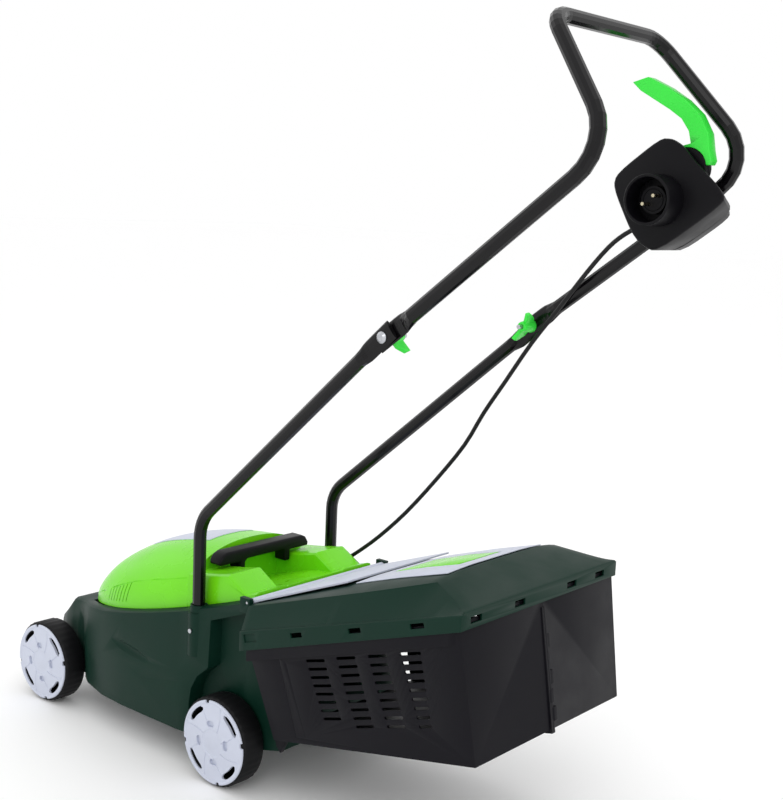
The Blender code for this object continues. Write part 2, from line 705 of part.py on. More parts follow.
def handle_axis(spot, outwards=1):
    """A turned shape's frame about a point of the handle plane, its heights along X."""
    return Matrix.Translation(on_handle(0, *spot)) @ Matrix.Rotation(math.radians(90 * outwards), 4, "Y")


def build_switch_box(fold, loop_path):
    inner_shape = slab(CASE, CASE_SPLIT_X + GAP / 2, CASE_INNER_X, HANDLE_PLANE)
    outer_shape = slab(OUTER_CASE, CASE_OUTER_X, CASE_SPLIT_X - GAP / 2, HANDLE_PLANE)
    inner = node("switch_case_inner", inner_shape, BLACK, fold)
    outer = node("switch_case_outer", outer_shape, BLACK, fold)
    right_half = [point for point in loop_path if point.x < 0]
    for half in (inner, outer):
        cut(half, tube(right_half, LOOP_RADIUS + 0.0010))
    pocket = [
        (0.246, -0.020), (0.262, -0.026), (0.262, 0.056), (0.332, 0.074), (0.332, 0.084), (0.256, 0.084),
        (0.246, 0.040),
    ]
    cut(inner, slab(pocket, CASE_SPLIT_X - 0.01, CASE_INNER_X - 0.004, HANDLE_PLANE))
    slot_low, slot_high = LEVER_LOW_X - 0.0012, LEVER_HIGH_X + 0.0048
    cut(inner, handle_bar(slot_low, slot_high, LEVER_AXIS, DRUM_RADIUS + 0.0085, 32))
    cut(outer, handle_bar(-0.150, -0.230, BUTTON, 0.0085))
    cut(inner, handle_bar(-0.110, -0.150, INLET, 0.0200, 24))
    cut(inner, handle_bar(-0.110, -0.175, LEVER_AXIS, 0.0024, 12))
    leaves, ends = Vector(LEAD_ROUTE[0]), Vector(LEAD_ROUTE[1])
    cut(inner, bar(leaves + 0.15 * (leaves - ends), ends, 0.0045, 16))
    back = CASE_INNER_X + GAP
    shroud = [
        (0, back + 0.018), (0.0185, back + 0.018), (0.0185, back + 0.004), (0.0300, back + 0.004),
        (0.0300, back + 0.038), (0.0340, back + 0.038), (0.0350, back), (0, back),
    ]
    body = node("inlet_shroud", turned(shroud, handle_axis(INLET), 28), BLACK, fold)
    for name, shift in (("rear", PIN_SPACING / 2), ("front", -PIN_SPACING / 2)):
        spot = (INLET[0] + shift, INLET[1])
        cut(body, handle_bar(back - 0.01, back + 0.03, spot, 0.0027, 12))
        node(f"inlet_pin_{name}", handle_bar(back - 0.003, back + 0.034, spot, 0.0024, 12), BRASS, fold)


def round_axis(angle, reach):
    """A place around the lever's axis, in the handle's plane."""
    return (LEVER_AXIS[0] + reach * math.cos(angle), LEVER_AXIS[1] + reach * math.sin(angle))


def build_lever(fold):
    pull = pivot("lever_pull", on_handle(-0.146, *LEVER_AXIS))
    grip = [
        (0.3660, 0.0605), (0.3740, 0.0740), (0.3765, 0.0920), (0.3716, 0.1100), (0.3640, 0.1300),
        (0.3560, 0.1520), (0.3545, 0.1665), (0.3757, 0.1590), (0.3880, 0.1330), (0.3960, 0.1080),
        (0.3990, 0.0830), (0.3930, 0.0570), (0.3824, 0.0360), (0.3775, 0.0240),
    ]
    flange = [math.radians(a) for a in (-28, -14, 0, 14, 28, 42, 56, 70, 82)]
    reach = DRUM_RADIUS + GAP
    foot = [round_axis(a, reach) for a in flange]
    tips = [round_axis(a, reach + 0.004) for a in (flange[-1], flange[0])]
    mesh = slab(foot + tips[:1] + grip + tips[1:], LEVER_LOW_X, LEVER_HIGH_X, HANDLE_PLANE)
    for vert in mesh.vertices:
        height = (vert.co - Vector((0, BOLT.y, BOLT.z))).dot(ABOVE)
        vert.co.x += LEAN * max(0, height - LEAN_START)
    node("lever", mesh, SPRING_GREEN, pull)
    drum = [
        (0.0023, LEVER_HIGH_X - 0.0010), (DRUM_RADIUS, LEVER_HIGH_X - 0.0010),
        (DRUM_RADIUS, LEVER_LOW_X + 0.0010), (0.0023, LEVER_LOW_X + 0.0010),
    ]
    node("lever_drum", turned(drum, handle_axis(LEVER_AXIS), 32), BLACK, pull)
    node("lever_pin", handle_bar(CASE_INNER_X - 0.0010, -0.1700, LEVER_AXIS, 0.0020, 12), STEEL, fold)
    coil = []
    for i in range(49):
        angle = 2 * math.pi * i / 12
        spot = (0.2640 + 0.026 * i / 48, 0.0790 + 0.0030 * math.cos(angle))
        coil.append(on_handle(-0.157 + 0.0030 * math.sin(angle), *spot))
    node("lever_spring", tube(coil, 0.0005, 1), STEEL, fold)
    case = [(0.2480, -0.0100), (0.2600, -0.0100), (0.2600, 0.0200), (0.2480, 0.0200)]
    switch = slab(case, -0.1500, -0.1340, HANDLE_PLANE)
    node("microswitch", switch, BLACK, fold, smooth=False)
    press = pivot("safety_button_press", on_handle(CASE_OUTER_X, *BUTTON))
    profile = [(0, 0.2065), (0.0060, 0.2060), (0.0080, 0.2045), (0.0080, 0.1900), (0, 0.1900)]
    node("safety_button", turned(profile, handle_axis(BUTTON, -1), 20), SPRING_GREEN, press)


# Grass box --------------------------------------------------------------------------------------------
RIM_SLOPE = 0.328
RIM_REAR_Y = 0.461


def rim_low(y):
    return 0.2335 + (y - 0.064) * RIM_SLOPE


def lid_edge(y):
    """Height of the lid's upper edge: it climbs to the rear, then drops to the rear rim."""
    if y <= 0.384:
        return 0.294 + (y - 0.047) * 0.3246
    return 0.4034 - (y - 0.384) * 0.20


# y, half width of the rim, half width of the upper edge, height of the crown over the edge
LID = (
    (0.0545, 0.1825, 0.1660, 0.000),
    (0.1200, 0.1840, 0.1650, 0.004),
    (0.2100, 0.1860, 0.1630, 0.008),
    (0.3000, 0.1875, 0.1580, 0.009),
    (0.3840, 0.1890, 0.1430, 0.006),
    (0.4400, 0.1898, 0.1700, 0.002),
    (0.4610, 0.1900, 0.1860, 0.000),
)


def lid_section(y, rim, edge, crown, inset=0.0, foot=0.0):
    low = rim_low(y)
    band = low + 0.0305 - 0.0085 * (y - 0.064) / 0.397
    top = max(lid_edge(y), band + 0.0006) - inset
    right = [
        (rim - inset, y, low - foot),
        (rim - inset, y, band - inset),
        (max(rim - 0.0035, edge) - inset, y, band + 0.0004 - inset),
        (edge - inset, y, top),
        (edge * 0.86, y, top + 0.5 * crown),
        (edge * 0.45, y, top + crown),
        (0, y, top + crown),
    ]
    return mirrored(right)


def build_lid(box):
    lid = node("box_lid", loft([lid_section(*row) for row in LID]), DARK_GREEN, box)
    wall = 0.0030
    rows = [(LID[0][0] + wall,) + LID[0][1:]] + list(LID[1:-1]) + [(LID[-1][0] - wall,) + LID[-1][1:]]
    cut(lid, loft([lid_section(*row, wall, 0.05) for row in rows]))


def between(value, marks):
    """Reads a height off straight lines between (place, height) marks."""
    for (start, low), (end, high) in zip(marks, marks[1:]):
        if value <= end:
            return low + (high - low) * (value - start) / (end - start)
    return marks[-1][1]


def lid_top(x, y):
    edge = between(y, [(row[0], row[2]) for row in LID])
    crown = between(y, [(row[0], row[3]) for row in LID])
    across = [(0, crown), (edge * 0.45, crown), (edge * 0.86, crown / 2), (edge, 0)]
    return lid_edge(y) + between(x, across)


def lid_plate(y_start, y_end, half, rise, thick):
    """A thin plate over part of the lid's top, following its crown."""
    sections = []
    for i in range(5):
        y = y_start + (y_end - y_start) * i / 4
        line = [(half * share, y, lid_top(half * share, y) + rise) for share in (1, 0.75, 0.5, 0)]
        low = mirrored(line)
        sections.append(low + [(x, y, z + thick) for x, y, z in reversed(low)])
    return loft(sections)


def build_lid_trim(box):
    trim = node("lid_trim", lid_plate(0.216, 0.378, 0.112, 0.0010, 0.0016), GREY, box)
    cut(trim, block((-0.052, 0.232, 0.30), (0.052, 0.352, 0.50)))
    node("box_grip", lid_plate(0.236, 0.348, 0.048, 0.0010, 0.0016), LIME, box)


def build_basket(box):
    """Two basket halves that meet on the middle plane, open at the top and towards the chute."""
    top_front, top_rear = 0.0660, RIM_REAR_Y - 0.0056
    lap = 0.012
    front = (0.1120, 0.1040, top_front, rim_low(top_front) + lap, 0.1620, 0.1783)
    rear = (0.4860, 0.1870, top_rear, rim_low(top_rear) + lap, 0.1765, 0.1858)
    hollow_front = (0.0900, 0.1040, 0.0400, rim_low(0.04) + lap + 0.03, 0.1598, 0.1767)
    hollow_rear = (0.4836, 0.1896, top_rear - 0.0076, rim_low(top_rear) + lap + 0.03, 0.1743, 0.1842)
    ridge = 0.004
    for name, side in SIDES.items():
        half = node(f"box_{name}", wedge(front, rear, side), BLACK, box)
        seam_front = (0.1300, 0.1040, 0.3800, rim_low(0.38) - 0.004, 0.0040, 0.0040)
        seam_top = (top_rear + 0.0045, rim_low(top_rear) - 0.006)
        seam_rear = (0.4860 + ridge, 0.1870 - ridge, *seam_top, 0.0040, 0.0040)
        join(half, wedge(seam_front, seam_rear, side))
        hook = [(0.106, 0.112), (0.113, 0.093), (0.121, 0.085), (0.129, 0.100), (0.134, 0.112)]
        inner, outer = sorted((side * 0.150, side * 0.157))
        join(half, slab(hook, inner, outer, YZ))
        inside = wedge(hollow_front, hollow_rear)
        for vert in inside.vertices:
            if vert.co.z < 0.2:
                vert.co.z += 0.0025
        cut(half, inside)


def build_flap():
    """The deflector: it hinges on a pin in the deck's lugs and rests on the lid."""
    swing = pivot("flap_swing", (0, 0.0440, 0.2965))
    front = (0.0460, 0.2950, 0.0460, 0.2985, 0.1510, 0.1510)
    rear = (0.2060, 0.3560, 0.2056, 0.3585, 0.1180, 0.1180)
    flap = node("flap", wedge(front, rear), GREY, swing)
    join(flap, bar((-0.1505, 0.0440, 0.2965), (0.1505, 0.0440, 0.2965), 0.0048, 16))
    cut(flap, bar((-0.20, 0.0440, 0.2965), (0.20, 0.0440, 0.2965), 0.0023, 12))
    node("flap_pin", bar((-0.1590, 0.0440, 0.2965), (0.1590, 0.0440, 0.2965), 0.0020, 12), STEEL)


# Lead -------------------------------------------------------------------------------------------------
LEAD_ROUTE = (
    (-0.1560, 0.4860, 0.8805),
    (-0.1550, 0.4560, 0.8640),
    (-0.1570, 0.4300, 0.8440),
    (-0.1585, 0.3960, 0.8060),
    (-0.1560, 0.3540, 0.7500),
    (-0.1530, 0.3130, 0.6960),
    (-0.1520, 0.2710, 0.6340),
    (-0.1540, 0.2320, 0.5790),
    (-0.1560, 0.1970, 0.5230),
    (-0.1540, 0.1470, 0.4600),
    (-0.1490, 0.0920, 0.3960),
    (-0.1480, 0.0370, 0.3440),
    (-0.1470, -0.0080, 0.3080),
    (-0.1440, -0.0290, 0.2930),
)


def smooth_route(points, steps=4):
    """A smooth curve through points, read at evenly shared places."""
    points = [Vector(point) for point in points]
    padded = [2 * points[0] - points[1]] + points + [2 * points[-1] - points[-2]]
    path = []
    for before, start, end, after in zip(padded, padded[1:], padded[2:], padded[3:]):
        for i in range(steps):
            t = i / steps
            square = (2 * before - 5 * start + 4 * end - after) * t ** 2
            cube = (3 * start - before - 3 * end + after) * t ** 3
            path.append(0.5 * (2 * start + (end - before) * t + square + cube))
    return path + [points[-1]]


def build_lead():
    path = smooth_route(LEAD_ROUTE)
    node("lead", tube(path, LEAD_RADIUS, 2), CABLE)
    gland = node("lead_gland", bar((-0.1352, -0.0330, 0.2895), (-0.1560, -0.0330, 0.2895), 0.0085, 20), BLACK)
    join(gland, bar((-0.1270, -0.0350, 0.2900), (-0.1372, -0.0350, 0.2900), 0.0048, 16))
    cut(gland, tube(path, LEAD_RADIUS + GAP, 4))


rotor_pivot = pivot("rotor_spin", (0, ROTOR_Y, 0.0680))
fold_pivot = pivot("handle_fold", (0, BOLT.y, BOLT.z))
box_pivot = pivot("grass_box_slide", (0, 0.0600, 0.2400))
build_deck()
build_hood()
build_hood_panel()
build_carry_handle()
build_motor(rotor_pivot)
build_axle("front", FRONT_OUTER_X, FRONT_AXLE_Y)
build_axle("rear", REAR_OUTER_X, 0)
build_lower_tubes()
loop_path = build_upper_tube(fold_pivot)
build_bolts(fold_pivot)
build_switch_box(fold_pivot, loop_path)
build_lever(fold_pivot)
build_lid(box_pivot)
build_lid_trim(box_pivot)
build_basket(box_pivot)
build_flap()
build_lead()
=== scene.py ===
# %% [markdown]
# # A corded rotary mower with a rigid grass box
#
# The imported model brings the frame: every tube, axle, shell and fastener in its real place. This lesson
# gives it its looks. Each visible moulding is modelled again with its ribs, slots and rounded edges, each
# metal part keeps its shape and gets a finish, and the lead becomes a smooth cable.

# %% Load the fixed frame
import json
import math

import bpy
from mathutils import Matrix, Vector


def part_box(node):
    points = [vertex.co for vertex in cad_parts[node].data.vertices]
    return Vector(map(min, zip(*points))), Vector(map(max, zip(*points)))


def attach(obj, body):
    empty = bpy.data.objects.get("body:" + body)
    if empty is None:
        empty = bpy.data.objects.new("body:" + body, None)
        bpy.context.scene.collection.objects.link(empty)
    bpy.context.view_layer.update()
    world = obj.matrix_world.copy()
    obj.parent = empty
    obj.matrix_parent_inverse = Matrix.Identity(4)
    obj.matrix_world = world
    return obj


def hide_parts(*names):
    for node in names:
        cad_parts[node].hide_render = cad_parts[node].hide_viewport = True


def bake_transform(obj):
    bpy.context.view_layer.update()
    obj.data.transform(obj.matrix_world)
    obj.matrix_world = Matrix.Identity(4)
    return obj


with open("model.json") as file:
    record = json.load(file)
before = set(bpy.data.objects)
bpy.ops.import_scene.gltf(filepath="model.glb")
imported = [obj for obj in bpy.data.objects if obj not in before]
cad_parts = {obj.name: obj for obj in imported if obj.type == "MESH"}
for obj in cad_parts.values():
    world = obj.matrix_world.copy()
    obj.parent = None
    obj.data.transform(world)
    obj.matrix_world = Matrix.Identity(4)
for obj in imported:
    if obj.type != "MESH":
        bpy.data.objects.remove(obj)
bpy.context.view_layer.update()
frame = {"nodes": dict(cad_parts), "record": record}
NODES = frame["nodes"]

# %% [markdown]
# ## Where things are
#
# The mower's designers measure from the rear axle, so this lesson does too. `place` turns such a layout
# point into the frame, whose origin lies under the middle of the whole mower. The rear axle node says how
# far apart the two are, so no number is repeated here.

# %% The rear axle as the place to measure from
axle_low, axle_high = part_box("rear_axle")
AXLE = Vector(((axle_low.x + axle_high.x) / 2, (axle_low.y + axle_high.y) / 2, 0))


def place(x, y, z):
    return AXLE + Vector((x, y, z))


print("rear axle at", [round(v, 4) for v in AXLE])

# %% [markdown]
# ## Camera
#
# The mower is seen from behind and from its left, from just above the grass box. A lens of almost 60 mm
# keeps the perspective gentle. The camera's own axes are worked out from three angles, because a small roll
# about the view direction is then easy to add.

# %% Camera from azimuth, elevation and roll
AZIMUTH, ELEVATION, ROLL = (math.radians(a) for a in (129.6542, 8.6467, 2.5863))
back = Vector((
    math.sin(AZIMUTH) * math.cos(ELEVATION),
    -math.cos(AZIMUTH) * math.cos(ELEVATION),
    math.sin(ELEVATION),
))
right = (-back).cross(Vector((0, 0, 1))).normalized()
up = right.cross(-back)
rolled_right = right * math.cos(ROLL) + up * math.sin(ROLL)
rolled_up = up * math.cos(ROLL) - right * math.sin(ROLL)
bpy.ops.object.camera_add()
camera = bpy.context.object
camera.name = "view"
turn = Matrix((rolled_right, rolled_up, back)).transposed().to_4x4()
camera.matrix_world = Matrix.Translation(place(1.46537, 1.38810, 0.89441)) @ turn
camera.data.lens = 58.534
camera.data.sensor_width = 36.0
bpy.context.scene.camera = camera
bpy.context.scene.view_settings.view_transform = "Standard"

# %% [markdown]
# ## Studio
#
# A product like this is shown on white, in light so soft that it has no edge. A pale floor runs far behind
# the mower, four big area lights wrap it, and the sky adds an even fill. The key light stands behind and
# above the camera, so the grass box's side and the lid's crown catch it.

# %% Floor, sky and soft lights
bpy.ops.mesh.primitive_plane_add(size=60, location=(0, 0, -0.0005))
floor = bpy.context.object
floor.name = "studio_floor"

world = bpy.data.worlds.new("soft_sky")
bpy.context.scene.world = world
world.use_nodes = True
world.node_tree.nodes["Background"].inputs["Color"].default_value = (1, 1, 1, 1)
world.node_tree.nodes["Background"].inputs["Strength"].default_value = 1.0

# Place, size in metres and watts of each light.
LIGHTS = {
    "key": ((2.6, 2.0, 2.6), 2.2, 22),
    "fill": ((-2.8, 1.6, 1.8), 2.4, 4),
    "front": ((0.6, -3.2, 2.0), 2.4, 6),
    "overhead": ((0.0, 0.2, 3.2), 2.6, 4),
}
for light_name, (where, size, watts) in LIGHTS.items():
    bpy.ops.object.light_add(type="AREA", location=where)
    light = bpy.context.object
    light.name = f"{light_name}_light"
    light.data.size = size
    light.data.energy = watts
    light.rotation_euler = (Vector((0, 0, 0.4)) - Vector(where)).to_track_quat("-Z", "Y").to_euler()

# %% [markdown]
# ## Finishes
#
# Nearly all of this mower is injection moulded plastic: polypropylene for the big shells, ABS for the
# bright, glossy parts. Both look alike up close: an even colour, a fine spark-eroded grain pressed in by
# the mould, and slow waves in the gloss where the wall shrank. So one recipe makes them all, with the
# grain's size and depth in millimetres. `hex_colour` turns a colour picker's value to linear light, and
# `add_node` is the only helper that the shader trees need.

# %% Colour and node helpers
def hex_colour(text):
    channels = [int(text[i:i + 2], 16) / 255 for i in (1, 3, 5)]
    linear = [c / 12.92 if c <= 0.04045 else ((c + 0.055) / 1.055) ** 2.4 for c in channels]
    return (*linear, 1)


def add_node(tree, kind, values, links=()):
    """Adds a node, sets its properties and sockets by name, and links sockets to (name, source) pairs."""
    made = tree.nodes.new(kind)
    for name, value in values.items():
        if name in made.inputs:
            made.inputs[name].default_value = value
        else:
            setattr(made, name, value)
    for name, source in links:
        tree.links.new(source, made.inputs[name])
    return made


def blank_material(name, **shader_values):
    made = bpy.data.materials.new(name)
    made.use_nodes = True
    shader = made.node_tree.nodes["Principled BSDF"]
    for socket, value in shader_values.items():
        shader.inputs[socket.replace("_", " ")].default_value = value
    return made, made.node_tree, shader


# %% [markdown]
# A pattern's scale is a number of repeats in a metre, so a size in millimetres divides `MM`. The shades
# below are kept a little darker than a hand sample, because a white studio lifts every dark surface.

# %% The moulded plastics
MM = 1000.0
SINK_WAVE_MM = 55  # distance between the slow waves where the wall shrank


def moulded(name, colour, roughness, grain_mm=1.6, grain_depth=0.12, streak=0.05, shine=0.5):
    """Injection moulded plastic: grain_mm between the grain's pits, streak for the slow change in tint."""
    made, tree, shader = blank_material(name, IOR=1.49, Roughness=roughness, Metallic=0.0)
    shader.inputs["Specular IOR Level"].default_value = shine
    where = add_node(tree, "ShaderNodeTexCoord", {}).outputs["Object"]
    grain = add_node(tree, "ShaderNodeTexNoise", {"Scale": MM / grain_mm, "Detail": 2.0}, [("Vector", where)])
    waves = {"Scale": MM / SINK_WAVE_MM, "Detail": 3.0}
    slow = add_node(tree, "ShaderNodeTexNoise", waves, [("Vector", where)])
    tint = add_node(tree, "ShaderNodeValToRGB", {}, [("Fac", slow.outputs["Fac"])])
    base = hex_colour(colour)
    tint.color_ramp.elements[0].position = 0.3
    tint.color_ramp.elements[0].color = (*[c * (1 - streak) for c in base[:3]], 1)
    tint.color_ramp.elements[1].position = 0.7
    tint.color_ramp.elements[1].color = (*[min(1, c * (1 + streak)) for c in base[:3]], 1)
    tree.links.new(tint.outputs["Color"], shader.inputs["Base Color"])
    gloss = add_node(
        tree,
        "ShaderNodeMapRange",
        {"From Min": 0.3, "From Max": 0.7, "To Min": roughness - 0.05, "To Max": roughness + 0.06},
        [("Value", slow.outputs["Fac"])],
    )
    tree.links.new(gloss.outputs["Result"], shader.inputs["Roughness"])
    bump = add_node(
        tree,
        "ShaderNodeBump",
        {"Strength": grain_depth, "Distance": 0.0004},
        [("Height", grain.outputs["Fac"])],
    )
    tree.links.new(bump.outputs["Normal"], shader.inputs["Normal"])
    return made


# Polypropylene with a satin spark-eroded grain: the deck and the grass box's lid.
polypropylene_green = moulded("polypropylene_bottle_green", "#0B2A20", 0.42, 1.8, 0.16, 0.05, 0.12)
# Polished ABS: the bright hood and the grass box's grip.
abs_lime = moulded("abs_polished_lime", "#70D714", 0.26, 3.0, 0.03, 0.03, 0.35)
# Polished ABS in a colder green, for whatever a hand turns or pulls.
abs_spring_green = moulded("abs_spring_green", "#38DE42", 0.28, 3.0, 0.03, 0.03, 0.35)
# Polypropylene with a matt grain: hub caps, deflector and lid panel.
polypropylene_grey = moulded("polypropylene_pale_grey", "#C4C9D8", 0.42, 1.8, 0.12, 0.03, 0.4)
# Polypropylene filled with talc, duller than the lid: the grass box.
polypropylene_black = moulded("polypropylene_talc_black", "#0E0D13", 0.46, 1.6, 0.30, 0.08, 0.12)
# ABS with a fine matt grain: switch box and carry handle.
abs_black = moulded("abs_grained_black", "#0A090D", 0.42, 1.4, 0.28, 0.06, 0.15)
# Polyethylene, waxy and dull: the wheels.
polyethylene_black = moulded("polyethylene_black", "#0D0D0F", 0.56, 2.2, 0.30, 0.10, 0.20)

# %% [markdown]
# ## Metals, enamel and cable
#
# The handle is steel tube in stoved enamel: a smooth black film over a wall that is never quite even, so
# its highlight wavers a little. Zinc plate is dull and faintly mottled. The lead has a soft PVC sheath.

# %% Enamel, plating, castings and PVC
def stoved_enamel():
    made, tree, shader = blank_material("steel_stoved_black_enamel", IOR=1.5, Roughness=0.20, Metallic=0.0)
    shader.inputs["Specular IOR Level"].default_value = 0.14
    shader.inputs["Base Color"].default_value = hex_colour("#070608")
    shader.inputs["Coat Weight"].default_value = 0.25
    shader.inputs["Coat Roughness"].default_value = 0.12
    where = add_node(tree, "ShaderNodeTexCoord", {}).outputs["Object"]
    waves = add_node(tree, "ShaderNodeTexNoise", {"Scale": MM / 9, "Detail": 2.0}, [("Vector", where)])
    bump = add_node(
        tree, "ShaderNodeBump", {"Strength": 0.10, "Distance": 0.0006}, [("Height", waves.outputs["Fac"])]
    )
    tree.links.new(bump.outputs["Normal"], shader.inputs["Normal"])
    return made


def plated(name, colour, roughness, mottle_mm):
    """A plated or cast metal with a mottled dullness, mottle_mm across each patch."""
    made, tree, shader = blank_material(name, Metallic=1.0, Roughness=roughness)
    shader.inputs["Base Color"].default_value = hex_colour(colour)
    where = add_node(tree, "ShaderNodeTexCoord", {}).outputs["Object"]
    pattern = {"Scale": MM / mottle_mm, "Detail": 4.0}
    mottle = add_node(tree, "ShaderNodeTexNoise", pattern, [("Vector", where)])
    dull = add_node(
        tree,
        "ShaderNodeMapRange",
        {"From Min": 0.3, "From Max": 0.7, "To Min": roughness - 0.1, "To Max": roughness + 0.12},
        [("Value", mottle.outputs["Fac"])],
    )
    tree.links.new(dull.outputs["Result"], shader.inputs["Roughness"])
    bump = add_node(
        tree, "ShaderNodeBump", {"Strength": 0.08, "Distance": 0.0003}, [("Height", mottle.outputs["Fac"])]
    )
    tree.links.new(bump.outputs["Normal"], shader.inputs["Normal"])
    return made


enamel_black = stoved_enamel()
zinc_steel = plated("steel_zinc_plated", "#B9BBC0", 0.32, 6)
cast_aluminium = plated("aluminium_sand_cast", "#9A9CA2", 0.50, 2)
nickel_brass = plated("brass_nickel_plated", "#C9C0A4", 0.25, 3)
pvc_black = moulded("pvc_cable_sheath_black", "#0E0E10", 0.50, 1.2, 0.10, 0.05, 0.3)
studio_paint = moulded("studio_matt_paint", "#FFFFFF", 0.90, 4.0, 0.02, 0.0)
floor.data.materials.append(studio_paint)

# %% [markdown]
# ## The frame's own parts
#
# Tubes, axles, nuts, pins and the motor already have their real shape, so each keeps its node and only
# takes a finish. The mouldings take one too, for now: the cells below replace those that need detail.

# %% Give every node its finish
FINISHES = {
    "dark_green_shell": polypropylene_green,
    "lime_hood": abs_lime,
    "spring_green_control": abs_spring_green,
    "lime_grip": abs_lime,
    "pale_grey_trim": polypropylene_grey,
    "hubcap_grey": polypropylene_grey,
    "black_moulding": abs_black,
    "basket_black": polypropylene_black,
    "tyre_black": polyethylene_black,
    "black_paint": enamel_black,
    "zinc_steel": zinc_steel,
    "cast_aluminium": cast_aluminium,
    "inlet_brass": nickel_brass,
    "cable_pvc": pvc_black,
}
SLOT_OF = {part["node"]: part["material_slot"] for part in frame["record"]["subparts"]}


def wear(obj, finish):
    obj.data.materials.clear()
    obj.data.materials.append(finish)


def select_only(*objects):
    bpy.ops.object.select_all(action="DESELECT")
    for obj in objects:
        obj.select_set(True)
    bpy.context.view_layer.objects.active = objects[0]


for node_name, obj in NODES.items():
    wear(obj, FINISHES[SLOT_OF[node_name]])
    select_only(obj)
    bpy.ops.object.shade_smooth_by_angle(angle=math.radians(30))

# %% [markdown]
# ## Tools for the mouldings
#
# A moulding is drawn as a row of cross sections, as a pattern maker would: `lofted` takes a grid primitive,
# lays its rows on the sections, merges the seam and fills both ends. `turned` does the same with rings
# about a wheel's axis. `carve` is a Boolean with its tool taken away afterwards, and `merged_copy` starts
# from the frame's own node, whose loose triangles are merged into clean faces first.

# %% Lofts, turned shapes and Booleans
def in_edit_mode(piece, *steps):
    select_only(piece)
    bpy.ops.object.mode_set(mode="EDIT")
    bpy.ops.mesh.select_all(action="SELECT")
    for step, settings in steps:
        step(**settings)
    bpy.ops.object.mode_set(mode="OBJECT")


def lofted(name, sections):
    """A closed skin through closed sections, each a list of world points of the same number."""
    bpy.ops.object.select_all(action="DESELECT")
    across = len(sections[0])
    bpy.ops.mesh.primitive_grid_add(x_subdivisions=across, y_subdivisions=len(sections) - 1, size=1)
    piece = bpy.context.object
    piece.name = name
    spots = [spot for section in sections for spot in [*section, section[0]]]
    for vert, spot in zip(piece.data.vertices, spots):
        vert.co = spot
    in_edit_mode(
        piece,
        (bpy.ops.mesh.remove_doubles, {"threshold": 0.00001}),
        (bpy.ops.mesh.fill_holes, {"sides": 0}),
        (bpy.ops.mesh.select_all, {"action": "SELECT"}),
        (bpy.ops.mesh.normals_make_consistent, {"inside": False}),
    )
    return piece


def between(before, start, end, after, t):
    """A value at share t from start to end, on a smooth curve through all four."""
    bend = 2 * before - 5 * start + 4 * end - after
    twist = 3 * start - before - 3 * end + after
    return 0.5 * (2 * start + (end - before) * t + bend * t * t + twist * t ** 3)


def smooth_rows(rows, steps):
    """More rows between the given ones, on a smooth curve through them."""
    first = [2 * a - b for a, b in zip(rows[0], rows[1])]
    last = [2 * a - b for a, b in zip(rows[-1], rows[-2])]
    padded = [first, *rows, last]
    out = []
    for before, start, end, after in zip(padded, padded[1:], padded[2:], padded[3:]):
        for i in range(steps):
            out.append([between(*values, i / steps) for values in zip(before, start, end, after)])
    return out + [list(rows[-1])]


def modify(piece, kind, **settings):
    select_only(piece)
    made = piece.modifiers.new(kind.title(), kind)
    for name, value in settings.items():
        setattr(made, name, value)
    bpy.ops.object.modifier_apply(modifier=made.name)


def carve(piece, tool, operation="DIFFERENCE"):
    modify(piece, "BOOLEAN", operation=operation, object=tool, solver="EXACT")
    bpy.data.objects.remove(tool)


def joined(name, pieces):
    select_only(*pieces)
    bpy.ops.object.join()
    pieces[0].name = name
    return pieces[0]


def settle(piece):
    """Moves a piece's place into its mesh."""
    select_only(piece)
    bpy.ops.object.transform_apply(location=True, rotation=True, scale=True)


def block(spot, size, tilt=0):
    """A plain block about a spot, tilted by some degrees about the X axis."""
    bpy.ops.object.select_all(action="DESELECT")
    bpy.ops.mesh.primitive_cube_add(size=1, location=spot, rotation=(math.radians(tilt), 0, 0))
    made = bpy.context.object
    made.scale = size
    settle(made)
    return made


def cross_bar(spot, radius, sides):
    """A round bar 50 mm long across the mower."""
    bpy.ops.object.select_all(action="DESELECT")
    across = (0, math.radians(90), 0)
    bpy.ops.mesh.primitive_cylinder_add(
        vertices=sides, radius=radius, depth=0.05, location=spot, rotation=across
    )
    made = bpy.context.object
    settle(made)
    return made


def merged_copy(node_name, piece_name):
    """A copy of a frame node with its flat faces made whole again."""
    piece = bpy.data.objects.new(piece_name, NODES[node_name].data.copy())
    bpy.context.scene.collection.objects.link(piece)
    in_edit_mode(
        piece,
        (bpy.ops.mesh.remove_doubles, {"threshold": 0.00002}),
        (bpy.ops.mesh.dissolve_limited, {"angle_limit": math.radians(1)}),
    )
    return piece


def eased_edges(piece, width, segments=3, angle=38):
    modify(
        piece,
        "BEVEL",
        width=width,
        segments=segments,
        limit_method="ANGLE",
        angle_limit=math.radians(angle),
        use_clamp_overlap=True,
    )


def stand_in(piece, body, finish, slot, *nodes, angle=34):
    """Gives a finished piece its material and its body, and hides the nodes that it stands for."""
    wear(piece, finish)
    select_only(piece)
    bpy.ops.object.shade_smooth_by_angle(angle=math.radians(angle))
    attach(piece, body)
    if nodes:
        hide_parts(*nodes)
    print(piece.name, len(piece.data.polygons), "faces")
    return piece


def copy_at(master, name, matrix):
    """A copy with its own mesh, moved by a matrix."""
    piece = bpy.data.objects.new(name, master.data.copy())
    bpy.context.scene.collection.objects.link(piece)
    piece.matrix_world = matrix
    settle(piece)
    return piece


SIDES = {"left": 1, "right": -1}

# %% [markdown]
# ## Motor hood
#
# One glossy lime moulding covers the motor. Its flanks are full and swell out to the deck, and its crest
# stays narrow between two soft ridges, where a grey inlay sits a little lower. Behind the dome, two
# shoulders run down to the deflector with a tray between them. The dome's sections are a superellipse,
# which gives full flanks with few numbers, and a smooth curve runs through them from nose to tail.

